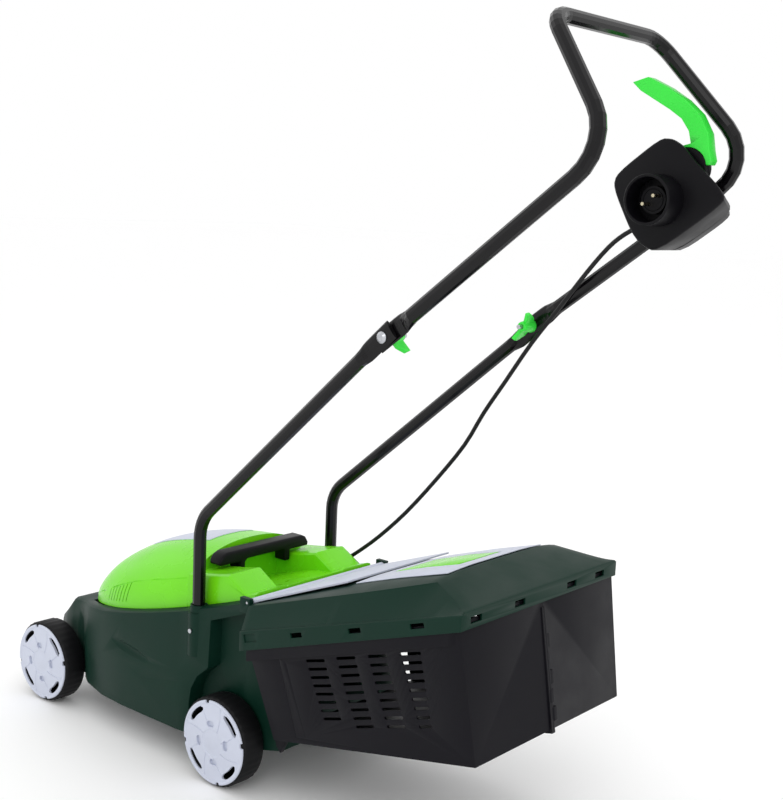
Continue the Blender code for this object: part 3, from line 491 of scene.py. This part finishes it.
# %% The dome and the shoulders
SEAM_GAP = 0.0006  # between the deck and the hood
FULL_FLANK, FLAT_CREST = 0.88, 0.80  # powers of the superellipse: 1 is an ellipse, less is fuller


def seam(y):
    """Height of the joint between the deck and the hood."""
    rise = y + 0.126
    return 0.2445 + 0.28 * rise + 0.25 * rise * rise


# y, half width, crest height
DOME = (
    (-0.425, 0.056, 0.190),
    (-0.408, 0.078, 0.212),
    (-0.385, 0.101, 0.242),
    (-0.346, 0.122, 0.276),
    (-0.290, 0.138, 0.304),
    (-0.235, 0.143, 0.321),
    (-0.170, 0.142, 0.334),
    (-0.112, 0.1375, 0.340),
)
# y, half width, height of the top
SHOULDERS = (
    (-0.1125, 0.1373, 0.3030),
    (-0.0600, 0.1350, 0.3115),
    (-0.0260, 0.1345, 0.3185),
    (0.0120, 0.1338, 0.2965),
    (0.0340, 0.1330, 0.3030),
)


def both_sides(right):
    """World points of a section given from its foot to the middle plane, with its mirror image."""
    left = [(-x, y, z) for x, y, z in reversed(right) if x > 0.00001]
    return [place(*point) for point in [*right, *left]]


def dome_spot(y, half, crest, share, inset=0.0):
    """A point of the dome's skin, from share 0 at its foot to 1 on its crest."""
    angle = math.radians(90 * share)
    half, height = half - inset, crest - inset - seam(y) - SEAM_GAP
    across = half * max(0.0, math.cos(angle)) ** FULL_FLANK
    return across, y, seam(y) + SEAM_GAP + height * math.sin(angle) ** FLAT_CREST


def dome_section(y, half, crest, inset=0.0, foot=0.0):
    right = [dome_spot(y, half, crest, share / 16, inset) for share in range(17)]
    right[0] = (right[0][0], y, right[0][2] - foot)
    right[-1] = (0.0, y, right[-1][2])
    return both_sides(right)


def shoulder_section(y, half, top, inset=0.0, foot=0.0):
    base = seam(y) + SEAM_GAP
    tray = base + max(0.0052, 0.32 * (top - base))
    inner = 0.060 + inset
    flank = 0.3 * (top - base)
    return both_sides([
        (half - inset, y, base - foot),
        (half - 0.001 - inset, y, top - flank - inset),
        (half - 0.003 - inset, y, top - 0.0025 - inset),
        (half - 0.006 - inset, y, top - 0.0006 - inset),
        (half - 0.010 - inset, y, top - inset),
        (inner + 0.008, y, top - inset),
        (inner + 0.004, y, top - 0.001 - inset),
        (inner + 0.002, y, top - 0.004 - inset),
        (inner, y, tray + 0.001 - inset),
        (inner - 0.002, y, tray - inset),
        (0.0, y, tray - inset),
    ])


SKIN = 0.0025  # thickness of the hood's wall
dome_rows = smooth_rows(DOME, 6)
hood = lofted("hood_moulding", [dome_section(*row) for row in dome_rows])
carve(hood, lofted("shoulders", [shoulder_section(*row) for row in SHOULDERS]), "UNION")
inside = [dome_section(*row, SKIN, 0.03) for row in dome_rows[4:-1]]
carve(hood, lofted("dome_inside", inside))
behind_dome = [(-0.1160, 0.1373, 0.3025), *SHOULDERS[1:-1], (0.0315, 0.1331, 0.3022)]
carve(hood, lofted("shoulders_inside", [shoulder_section(*row, SKIN, 0.03) for row in behind_dome]))
print("hood", [round(v, 4) for v in hood.dimensions])

# %% [markdown]
# The flank carries two details from the mould: a thin groove that climbs from the nose to the shoulder, and
# seven slanted cooling slits in front under it. The groove is a bent wire laid on the skin and carved away;
# each slit is a thin blade turned a few degrees.

# %% Groove, slits and lead hole
SLIT_WIDTH, SLIT_TILT = 0.0017, -12
LEAD_HOLE_RADIUS = 0.0052


def on_flank(y, z):
    """Distance of the dome's skin from the middle plane at a height."""
    row = min(dome_rows, key=lambda item: abs(item[0] - y))
    spots = [dome_spot(y, row[1], row[2], share / 60) for share in range(61)]
    return min(spots, key=lambda spot: abs(spot[2] - z))[0]


def wire(name, points, radius, sides=8):
    """A round bar along points, for cutting or as a cable."""
    rings = []
    for i, point in enumerate(points):
        ahead = (points[min(i + 1, len(points) - 1)] - points[max(i - 1, 0)]).normalized()
        level = ahead.cross(Vector((0, 0, 1))).normalized()
        above = level.cross(ahead)
        turns = [2 * math.pi * k / sides for k in range(sides)]
        rings.append([
            point + level * radius * math.cos(a) + above * radius * math.sin(a) for a in turns
        ])
    return lofted(name, rings)


# y and z of the groove's middle line
GROOVE = smooth_rows(
    [(-0.372, 0.206), (-0.314, 0.231), (-0.260, 0.254), (-0.206, 0.271), (-0.125, 0.291)], 6
)
for side in SIDES.values():
    line = [place(side * (on_flank(y, z) + 0.0004), y, z) for y, z in GROOVE]
    carve(hood, wire("groove_tool", line, 0.0011))
    blades = []
    for i in range(7):
        y = -0.314 + 0.0098 * i
        height = 0.021 + 0.0022 * i
        z = seam(y) + 0.010 + height / 2
        blades.append(block(place(side * on_flank(y, z), y, z), (0.024, SLIT_WIDTH, height), SLIT_TILT))
    carve(hood, joined("slit_tool", blades))
carve(hood, cross_bar(place(-0.135, -0.035, 0.290), LEAD_HOLE_RADIUS, 24))
stand_in(hood, "chassis", abs_lime, "lime_hood", "hood", angle=28)

# %% [markdown]
# The inlay is a thin grey strip that is snapped onto the crest. Its underside follows the same superellipse
# as the dome, a hair below the skin, so the two never show a gap.

# %% The grey inlay on the crest
INLAY_HALF, INLAY_SUNK, INLAY_THICK = 0.050, 0.0004, 0.0016


def inlay_section(y, half, crest):
    right = []
    for x in [INLAY_HALF * i / 6 for i in range(6, -1, -1)]:
        cosine = (x / half) ** (1 / FULL_FLANK)
        height = crest - seam(y) - SEAM_GAP
        z = seam(y) + SEAM_GAP + height * math.sqrt(1 - cosine ** 2) ** FLAT_CREST
        right.append((x, z - INLAY_SUNK))
    low = [place(x, y, z) for x, z in right] + [place(-x, y, z) for x, z in right[-2::-1]]
    high = [spot + Vector((0, 0, INLAY_THICK)) for spot in reversed(low)]
    return low + high


inlay_rows = [row for row in dome_rows if -0.300 < row[0] < -0.155]
inlay = lofted("hood_inlay", [inlay_section(*row) for row in inlay_rows])
eased_edges(inlay, 0.0006, 2, 60)
stand_in(inlay, "chassis", polypropylene_grey, "pale_grey_trim", "hood_panel")

# %% [markdown]
# ## Grass box
#
# Two black halves, moulded in talc filled polypropylene, meet on the middle plane. Air has to leave the box
# while the grass stays, so four columns of level slots run through each flank, all parallel to the rim. One
# slot is modelled with rounded ends, then copied to each place.

# %% One slot, copied to every place on both flanks
SLOT_HEIGHT = 0.0044
FLANK_X = 0.176  # distance of the slots' middle from the middle plane
# Number of slots, then front and rear end of the top slot and of the bottom slot, as y and z.
SLOT_COLUMNS = (
    (8, (0.189, 0.2505), (0.221, 0.2597), (0.2197, 0.1715), (0.2501, 0.1812)),
    (9, (0.2468, 0.2698), (0.2777, 0.2793), (0.2821, 0.1790), (0.3111, 0.1889)),
    (9, (0.3044, 0.2883), (0.3325, 0.2968), (0.3394, 0.1977), (0.3679, 0.2069)),
    (9, (0.3601, 0.3065), (0.3917, 0.3163), (0.3950, 0.2148), (0.4115, 0.2204)),
)
slot_master = cross_bar((0, 0, 0), SLOT_HEIGHT / 2, 16)


def slot_tool(side):
    """All slots of one flank: each bar is pulled out lengthwise from its front end to its rear end."""
    tools = []
    for count, top_front, top_rear, low_front, low_rear in SLOT_COLUMNS:
        for i in range(count):
            share = i / (count - 1)
            front = Vector(top_front).lerp(Vector(low_front), share)
            rear = Vector(top_rear).lerp(Vector(low_rear), share)
            run = (rear - front).normalized()
            start = place(side * FLANK_X, *front)
            tool = copy_at(slot_master, "slot", Matrix.Translation(start))
            stretch = place(0, *rear) - place(0, *front)
            for vert in tool.data.vertices:
                offset = vert.co - start
                if offset.y * run.x + offset.z * run.y > 0:
                    vert.co += stretch
            tools.append(tool)
    return joined("slots", tools)


def on_basket(side, y, z):
    """A point on the basket's flank, which leans out towards its rim and its rear."""
    up_share = (z - 0.104) / 0.1422
    rear_share = (y - 0.112 + 0.046 * up_share) / 0.389
    return place(side * (0.1626 + 0.0163 * up_share + 0.0075 * rear_share), y, z)


# Straight grooves that frame the slots: both ends of each, as y and z.
FLANK_GROOVES = (
    ((0.1424, 0.2501), (0.1792, 0.1298)),
    ((0.1298, 0.2517), (0.1600, 0.1238)),
    ((0.1825, 0.2439), (0.2145, 0.1582)),
    ((0.2145, 0.1582), (0.4167, 0.2183)),
    ((0.4167, 0.2183), (0.4017, 0.3038)),
)
for side_name, side in SIDES.items():
    half = merged_copy(f"box_{side_name}", f"basket_{side_name}")
    carve(half, slot_tool(side))
    for line in FLANK_GROOVES:
        start, end = (on_basket(side, y, z) for y, z in line)
        carve(half, wire("seam_tool", [start, start.lerp(end, 0.5), end], 0.0013))
    eased_edges(half, 0.0012, 2, 45)
    stand_in(half, "grass_box", polypropylene_black, "basket_black", f"box_{side_name}", angle=30)
bpy.data.objects.remove(slot_master)

# %% [markdown]
# Under the lid's edge the basket has a collar, which keeps it from spreading. It is one band, drawn through
# stations along the flank, round the corner and along the rear. Clips pull the halves together.

# %% The collar under the lid, and the clips on the rear seam
CLIP_SIZE = (0.0100, 0.0080, 0.0200)


def rim_low(y):
    """Height of the lid's lower edge, which climbs to the rear."""
    return 0.2335 + (y - 0.064) * 0.328


def collar(side):
    """A band that follows the rim from the front, round the rear corner, to the middle."""
    corner = []
    for out_x, out_y in [(math.cos(a), math.sin(a)) for a in [math.radians(15 * k) for k in range(7)]]:
        corner.append((0.1700 + 0.0155 * out_x, 0.4390 + 0.0155 * out_y, out_x, out_y))
    # x and y of each station, and which way is out
    stations = [(0.1782, 0.0680, 1, 0), (0.1812, 0.2000, 1, 0), (0.1835, 0.3200, 1, 0), *corner]
    stations += [(0.1000, 0.4545, 0, 1), (0.0045, 0.4545, 0, 1)]
    rings = []
    for x, y, out_x, out_y in stations:
        low, high = rim_low(y) - 0.0175, rim_low(y) + 0.0030
        ring = [(-0.0045, low), (0.0012, low), (0.0024, low + 0.0035), (0.0024, high), (-0.0045, high)]
        rings.append([place(side * (x + out * out_x), y + out * out_y, z) for out, z in ring])
    return lofted(f"collar_{'left' if side > 0 else 'right'}", rings)


for side in SIDES.values():
    stand_in(collar(side), "grass_box", polypropylene_black, "basket_black")
tabs = []
for i in range(6):
    share = (i + 0.5) / 6
    spot = place(-0.0075 if i % 2 else -0.0035, 0.4560 + 0.0290 * share, 0.3450 - 0.150 * share)
    tabs.append(block(spot, CLIP_SIZE, 11))
tab_strip = joined("seam_clips", tabs)
eased_edges(tab_strip, 0.0015, 3)
stand_in(tab_strip, "grass_box", polypropylene_black, "basket_black")

# %% [markdown]
# The lid is bottle green with a satin grain. A band hangs over the basket's rim and holds small windows,
# where the basket's clips snap in. Above it the flanks lean in to a long edge, and the top is almost flat.

# %% The lid with its band and clip windows
def lid_edge(y):
    """Height of the flank's upper edge, which climbs to the rear and then drops away."""
    if y <= 0.384:
        return 0.294 + (y - 0.047) * 0.3246
    return 0.4034 - (y - 0.384) * 0.20


# y, half width of the rim, half width of the upper edge, height of the crown over the edge
LID = (
    (0.0545, 0.1825, 0.1660, 0.000),
    (0.1200, 0.1840, 0.1650, 0.004),
    (0.2100, 0.1860, 0.1630, 0.008),
    (0.3000, 0.1875, 0.1580, 0.009),
    (0.3840, 0.1890, 0.1430, 0.006),
    (0.4400, 0.1898, 0.1700, 0.002),
    (0.4610, 0.1900, 0.1860, 0.000),
)


def lid_section(y, rim, edge, crown, inset=0.0, foot=0.0):
    """Band, ledge, leaning flank and crown. The foot makes the inner one longer, to cut right through."""
    low = rim_low(y)
    band = low + 0.0305 - 0.0085 * (y - 0.064) / 0.397
    top = max(lid_edge(y), band + 0.0016) - inset
    lean = min(0.004, 0.5 * (top - band + inset))
    return both_sides([
        (rim - inset, y, low - foot),
        (rim - inset, y, band - 0.0015 - inset),
        (rim - 0.0012 - inset, y, band - inset),
        (max(rim - 0.0035, edge) - inset, y, band + 0.0004 - inset),
        (edge + 0.0012 - inset, y, top - lean),
        (edge - 0.0004 - inset, y, top - 0.3 * lean),
        (edge - 0.004 - inset, y, top),
        (edge * 0.86, y, top + 0.5 * crown),
        (edge * 0.65, y, top + 0.85 * crown),
        (edge * 0.35, y, top + crown),
        (0.0, y, top + crown),
    ])


lid_rows = smooth_rows(LID[:5], 6)[:-1] + smooth_rows(LID[4:], 5)
lid = lofted("lid", [lid_section(*row) for row in lid_rows])
LID_WALL = 0.0030
front_y, rear_y = lid_rows[0][0] + LID_WALL, lid_rows[-1][0] - LID_WALL
inner_rows = [[front_y, *lid_rows[0][1:]], *lid_rows[1:-1], [rear_y, *lid_rows[-1][1:]]]
inner_rows = [row for row in inner_rows if row[0] <= rear_y]
carve(lid, lofted("lid_inside", [lid_section(*row, LID_WALL, 0.05) for row in inner_rows]))
RIM_SLOPE = 18  # degrees that the rim climbs
REAR_WINDOW = (0.024, 0.012, 0.009)
# Windows in the flanks: front end, rear end, height of the middle, height of the window.
windows = []
for y_front, y_rear, z, tall in (
    (0.064, 0.0895, 0.2560, 0.012),
    (0.160, 0.183, 0.2850, 0.007),
    (0.270, 0.293, 0.3200, 0.007),
    (0.378, 0.402, 0.3540, 0.007),
):
    for side in SIDES.values():
        spot = place(side * 0.1875, (y_front + y_rear) / 2, z)
        windows.append(block(spot, (0.014, y_rear - y_front, tall), RIM_SLOPE))
# Windows in the rear, at these distances from the middle plane.
for x in (0.1575, 0.059, -0.069, -0.144):
    windows.append(block(place(x, 0.4605, 0.3745), REAR_WINDOW))
carve(lid, joined("window_tool", windows))
eased_edges(lid, 0.0009, 2, 50)
stand_in(lid, "grass_box", polypropylene_green, "dark_green_shell", "box_lid", angle=26)

# %% [markdown]
# ## Wheels
#
# Each wheel is one hollow polyethylene moulding with faint cleats across its tread. The cap is a separate
# grey disc with four long slots near its rim, four small pockets nearer the hub and creases that fan out
# between them like a pinwheel. Both are turned once about the wheel's axis, then copied four times.

# %% Wheel and cap, turned once
TREAD_FROM = 0.0695  # radius past which a ring is part of the tread


def turned(name, profile, cleats=0.0, steps=144):
    """Rings about the X axis, through (radius, height) pairs. Cleats dent the tread by that depth."""
    rings = []
    for radius, height in profile:
        ring = []
        for k in range(steps):
            reach = radius - cleats if radius > TREAD_FROM and k % 4 < 2 else radius
            angle = 2 * math.pi * k / steps
            ring.append(Vector((height, reach * math.cos(angle), reach * math.sin(angle))))
        rings.append(ring)
    return lofted(name, rings)


# Radius and distance from the wheel's inner face, once round each profile.
TYRE = (
    (0.0041, 0.0300), (0.0120, 0.0300), (0.0140, 0.0200), (0.0560, 0.0180), (0.0572, 0.0390),
    (0.0580, 0.0400), (0.0655, 0.0400), (0.0682, 0.0388), (0.0700, 0.0362), (0.0700, 0.0045),
    (0.0682, 0.0015), (0.0655, 0.0000), (0.0500, 0.0000), (0.0480, 0.0120), (0.0140, 0.0120),
    (0.0120, 0.0000), (0.0041, 0.0000),
)
CAP = (
    (0.0003, 0.0385), (0.0545, 0.0385), (0.0570, 0.0403), (0.0656, 0.0403), (0.0657, 0.0412),
    (0.0652, 0.0424),
    (0.0640, 0.0431), (0.0622, 0.0432), (0.0608, 0.0426), (0.0600, 0.0421), (0.0480, 0.0428),
    (0.0330, 0.0440), (0.0240, 0.0445), (0.0215, 0.0444), (0.0205, 0.0436), (0.0120, 0.0436),
    (0.0105, 0.0441), (0.0003, 0.0443),
)
tyre_master = turned("tyre_master", TYRE, 0.0006)
cap_master = turned("cap_master", CAP, steps=96)


def arc_tool(name, inner, outer, low, high, middle, spread):
    """A curved block about the wheel's axis, for a slot or a pocket."""
    rings = []
    for i in range(9):
        angle = math.radians(middle + spread * (i / 4 - 1))
        pinch = 0.35 * (outer - inner) * abs(i / 4 - 1) ** 6
        corners = ((inner + pinch, low), (outer - pinch, low), (outer - pinch, high), (inner + pinch, high))
        rings.append([Vector((h, r * math.cos(angle), r * math.sin(angle))) for r, h in corners])
    return lofted(name, rings)


# Inner and outer radius, lower and upper end, then where the middle is and how far it spreads, in degrees.
cap_tools = []
for i in range(4):
    cap_tools.append(arc_tool("rim_slot", 0.0490, 0.0585, 0.030, 0.050, 90 * i + 45, 20))
    cap_tools.append(arc_tool("pocket", 0.0250, 0.0345, 0.0400, 0.050, 90 * i + 8, 15))
    cap_tools.append(arc_tool("notch", 0.0610, 0.0680, 0.0395, 0.050, 90 * i + 12, 3.6))
carve(cap_master, joined("cap_tool", cap_tools))
for i in range(8):
    start = math.radians(45 * i + 14)
    end = math.radians(45 * i + 30)
    line = []
    for share in (0, 0.25, 0.5, 0.75, 1):
        radius = 0.0225 + share * 0.0365
        height = 0.0447 - 0.0022 * share
        angle = start + share * (end - start)
        line.append(Vector((height, radius * math.cos(angle), radius * math.sin(angle))))
    carve(cap_master, wire("crease_tool", line, 0.0012, 6))

# %% [markdown]
# Each node of the frame says where its wheel sits. The caps face outwards, so the right wheels are the left
# ones turned half round, not mirrored, as they are when one mould serves both sides.

# %% Four copies of each
for end_name in ("front", "rear"):
    for side_name, side in SIDES.items():
        low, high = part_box(f"wheel_{end_name}_{side_name}")
        inner_x = low.x if side > 0 else high.x
        spot = Vector((inner_x, (low.y + high.y) / 2, (low.z + high.z) / 2))
        where = Matrix.Translation(spot) @ Matrix.Rotation(0 if side > 0 else math.pi, 4, "Z")
        body = f"{end_name}_{side_name}_wheel"
        tyre = copy_at(tyre_master, f"tyre_{end_name}_{side_name}", where)
        stand_in(tyre, body, polyethylene_black, "tyre_black", f"wheel_{end_name}_{side_name}")
        cap = copy_at(cap_master, f"cap_{end_name}_{side_name}", where)
        stand_in(cap, body, polypropylene_grey, "hubcap_grey", f"hubcap_{end_name}_{side_name}", angle=24)
bpy.data.objects.remove(tyre_master)
bpy.data.objects.remove(cap_master)

# %% [markdown]
# ## Switch box
#
# Two black shells close around the handle's right bend. Their edges are well rounded, because a hand rests
# here. The outline is drawn in the handle's own plane, as distances along and above the tube, and each
# section is the same outline drawn in a little, which gives a soft edge without any bevel.

# %% The handle's plane, and the case
# Distance along the tube from its bolt and above it, once round each half's outline.
BOLT = place(0, 0.3014, 0.7199)
ALONG = Vector((0, 0.3274, 0.2482)).normalized()
ABOVE = Vector((1, 0, 0)).cross(ALONG)
CASE = (
    (0.233, 0.011), (0.236, -0.014), (0.250, -0.036), (0.368, -0.037), (0.376, -0.026), (0.365, 0.034),
    (0.362, 0.060), (0.354, 0.078), (0.339, 0.090), (0.258, 0.090), (0.243, 0.077),
)
OUTER_CASE = (
    (0.233, 0.011), (0.236, -0.014), (0.250, -0.036), (0.340, -0.037), (0.346, -0.026), (0.341, 0.034),
    (0.338, 0.060), (0.330, 0.078), (0.318, 0.090), (0.258, 0.090), (0.243, 0.077),
)
LEVER_AXIS = (0.344, 0.036)
INLET = (0.294, 0.019)


def on_handle(x, along, above):
    return Vector((place(x, 0, 0).x, BOLT.y, BOLT.z)) + ALONG * along + ABOVE * above


def softened(outline):
    """The outline with each corner cut twice, which rounds it."""
    points = [Vector(point) for point in outline]
    for _ in range(2):
        edges = zip(points, [*points[1:], points[0]])
        points = [start.lerp(end, share) for start, end in edges for share in (0.2, 0.8)]
    return points


def case_half(name, outline, sections):
    """Each section is a distance across, how far the outline draws in, and how far its rear end draws back."""
    points = softened(outline)
    middle = sum(points, Vector((0, 0))) / len(points)
    rings = []
    for x, inset, drawn_back in sections:
        ring = []
        for point in points:
            spot = point + (middle - point).normalized() * inset
            spot.x -= drawn_back * min(1, max(0, (point.x - 0.30) / 0.04))
            ring.append(on_handle(x, spot.x, spot.y))
        rings.append(ring)
    return lofted(name, rings)


def handle_ring(x, spot, radius, sides):
    turns = [2 * math.pi * k / sides for k in range(sides)]
    return [on_handle(x, spot[0] + radius * math.cos(a), spot[1] + radius * math.sin(a)) for a in turns]


def handle_rod(name, spot, radius, x_low, x_high, sides=64):
    """A round bar across the handle's plane."""
    rings = []
    for x in (x_low, x_high):
        rings.append(handle_ring(x, spot, radius, sides))
    return lofted(name, rings)


inner_case = case_half(
    "switch_case_near", CASE,
    [
        (-0.1240, 0.0042, 0), (-0.1246, 0.0024, 0), (-0.1262, 0.0008, 0.001), (-0.1285, 0, 0.002),
        (-0.1540, 0, 0.012), (-0.1795, 0, 0.0215), (-0.17985, 0.0006, 0.0217),
    ],
)
carve(inner_case, handle_rod("drum_room", LEVER_AXIS, 0.0360, -0.1572, -0.1312))
carve(inner_case, handle_rod("pin_room", LEVER_AXIS, 0.0024, -0.1248, -0.175, 16))  # for the lever's pin
carve(inner_case, handle_rod("inlet_room", INLET, 0.0200, -0.110, -0.150))
for i in range(5):
    rib_x = -0.1262 - 0.008 * i
    start, end = on_handle(rib_x, 0.262, 0.0906), on_handle(rib_x, 0.326, 0.0906)
    carve(inner_case, wire("grip_rib", [start, start.lerp(end, 0.5), end], 0.0010, 6))
stand_in(inner_case, "upper_handle", abs_black, "black_moulding", "switch_case_inner", angle=30)
outer_case = case_half(
    "switch_case_far", OUTER_CASE,
    [
        (-0.18015, 0.0006, 0), (-0.1806, 0, 0), (-0.1990, 0, 0.004), (-0.2018, 0.0010, 0.005),
        (-0.2030, 0.0028, 0.005), (-0.2035, 0.0048, 0.005),
    ],
)
carve(outer_case, handle_rod("button_room", (0.290, 0.058), 0.0085, -0.170, -0.230))
stand_in(outer_case, "upper_handle", abs_black, "black_moulding", "switch_case_outer", angle=30)

# %% [markdown]
# The mains inlet is a deep round socket, so that no finger reaches its pins. A groove runs round its floor,
# where a seal would sit, and its rim is rolled.

# %% The inlet's round shroud
# Radius and height over the case, from the floor's middle out over the rim.
SHROUD = (
    (0.0003, 0.0180), (0.0140, 0.0180), (0.0144, 0.0170), (0.0150, 0.0170), (0.0154, 0.0180),
    (0.0185, 0.0180),
    (0.0185, 0.0045), (0.0190, 0.0040), (0.0295, 0.0040), (0.0300, 0.0045), (0.0300, 0.0368),
    (0.0304, 0.0376),
    (0.0312, 0.0380), (0.0332, 0.0380), (0.0340, 0.0372), (0.0350, 0.0000), (0.0003, 0.0000),
)
SHROUD_FOOT = -0.1237  # where the shroud stands on the case
shroud = lofted(
    "inlet_ring", [handle_ring(SHROUD_FOOT + height, INLET, radius, 96) for radius, height in SHROUD]
)
PIN_SHIFT = 0.0095  # half of the distance between the pins
for shift in (-PIN_SHIFT, PIN_SHIFT):
    carve(shroud, handle_rod("pin_hole", (INLET[0] + shift, INLET[1]), 0.0028, -0.140, -0.090, 24))
stand_in(shroud, "upper_handle", abs_black, "black_moulding", "inlet_shroud", angle=30)

# %% [markdown]
# ## Pieces that only need softer edges
#
# A moulding always has a small radius where two faces meet, and that radius is what catches the light.
# These pieces have the right shape in the frame, so each is a merged copy with its sharp edges eased. Only
# the deck gets more: a scoop and a crease in each flank.

# %% Lever, carry handle, deflector, trims and wing nuts
def sculpt_deck(piece):
    """A long shallow scoop and a crease in each of the deck's flanks, between the wheels."""
    for side in SIDES.values():
        bpy.ops.object.select_all(action="DESELECT")
        bpy.ops.mesh.primitive_uv_sphere_add(
            segments=48, ring_count=24, radius=1, location=place(side * 0.1715, -0.235, 0.158),
            rotation=(math.radians(-7), 0, 0),
        )
        scoop = bpy.context.object
        scoop.scale = (0.0120, 0.0900, 0.0110)
        settle(scoop)
        carve(piece, scoop)
        crease = [place(side * 0.1650, -0.216 + 0.131 * k / 4, 0.113 + 0.025 * k / 4) for k in range(5)]
        carve(piece, wire("crease_tool", crease, 0.0016))


# Node, body, finish, width of the soft edge and its segments.
EASED = (
    ("lever", "switch_lever", abs_spring_green, 0.0030, 4),
    ("lever_drum", "switch_lever", abs_black, 0.0030, 3),
    ("carry_handle", "chassis", abs_black, 0.0034, 4),
    ("flap", "deflector", polypropylene_grey, 0.0012, 3),
    ("lid_trim", "grass_box", polypropylene_grey, 0.0007, 2),
    ("box_grip", "grass_box", abs_lime, 0.0007, 2),
    ("wing_nut_left", "left_wing_nut", abs_spring_green, 0.0011, 2),
    ("wing_nut_right", "right_wing_nut", abs_spring_green, 0.0011, 2),
    ("lead_gland", "chassis", abs_black, 0.0010, 2),
    ("deck", "chassis", polypropylene_green, 0.0012, 2),
)
for node_name, body, finish, width, segments in EASED:
    piece = merged_copy(node_name, f"{node_name}_eased")
    if node_name == "deck":
        sculpt_deck(piece)
    eased_edges(piece, width, segments)
    stand_in(piece, body, finish, SLOT_OF[node_name], node_name, angle=34)

# %% [markdown]
# ## Lead
#
# The lead is a real cable of a fixed length, so it follows one smooth route. It leaves the switch box
# downwards, hangs beside the right tube, passes the fold and enters the gland behind the hood.

# %% Lead from the switch box to the hood
LEAD_ROUTE = (
    (-0.1560, 0.4860, 0.8805),
    (-0.1550, 0.4560, 0.8640),
    (-0.1570, 0.4300, 0.8440),
    (-0.1585, 0.3960, 0.8060),
    (-0.1560, 0.3540, 0.7500),
    (-0.1530, 0.3130, 0.6960),
    (-0.1520, 0.2710, 0.6340),
    (-0.1540, 0.2320, 0.5790),
    (-0.1560, 0.1970, 0.5230),
    (-0.1540, 0.1470, 0.4600),
    (-0.1490, 0.0920, 0.3960),
    (-0.1480, 0.0370, 0.3440),
    (-0.1470, -0.0080, 0.3080),
    (-0.1440, -0.0290, 0.2930),
)
LEAD_DIAMETER = 0.0066
route = [place(*point) for point in smooth_rows(LEAD_ROUTE, 3)]
lead = wire("lead_cable", route, LEAD_DIAMETER / 2, 20)
wear(lead, pvc_black)
select_only(lead)
bpy.ops.object.shade_smooth_by_angle(angle=math.radians(40))
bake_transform(lead)
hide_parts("lead")
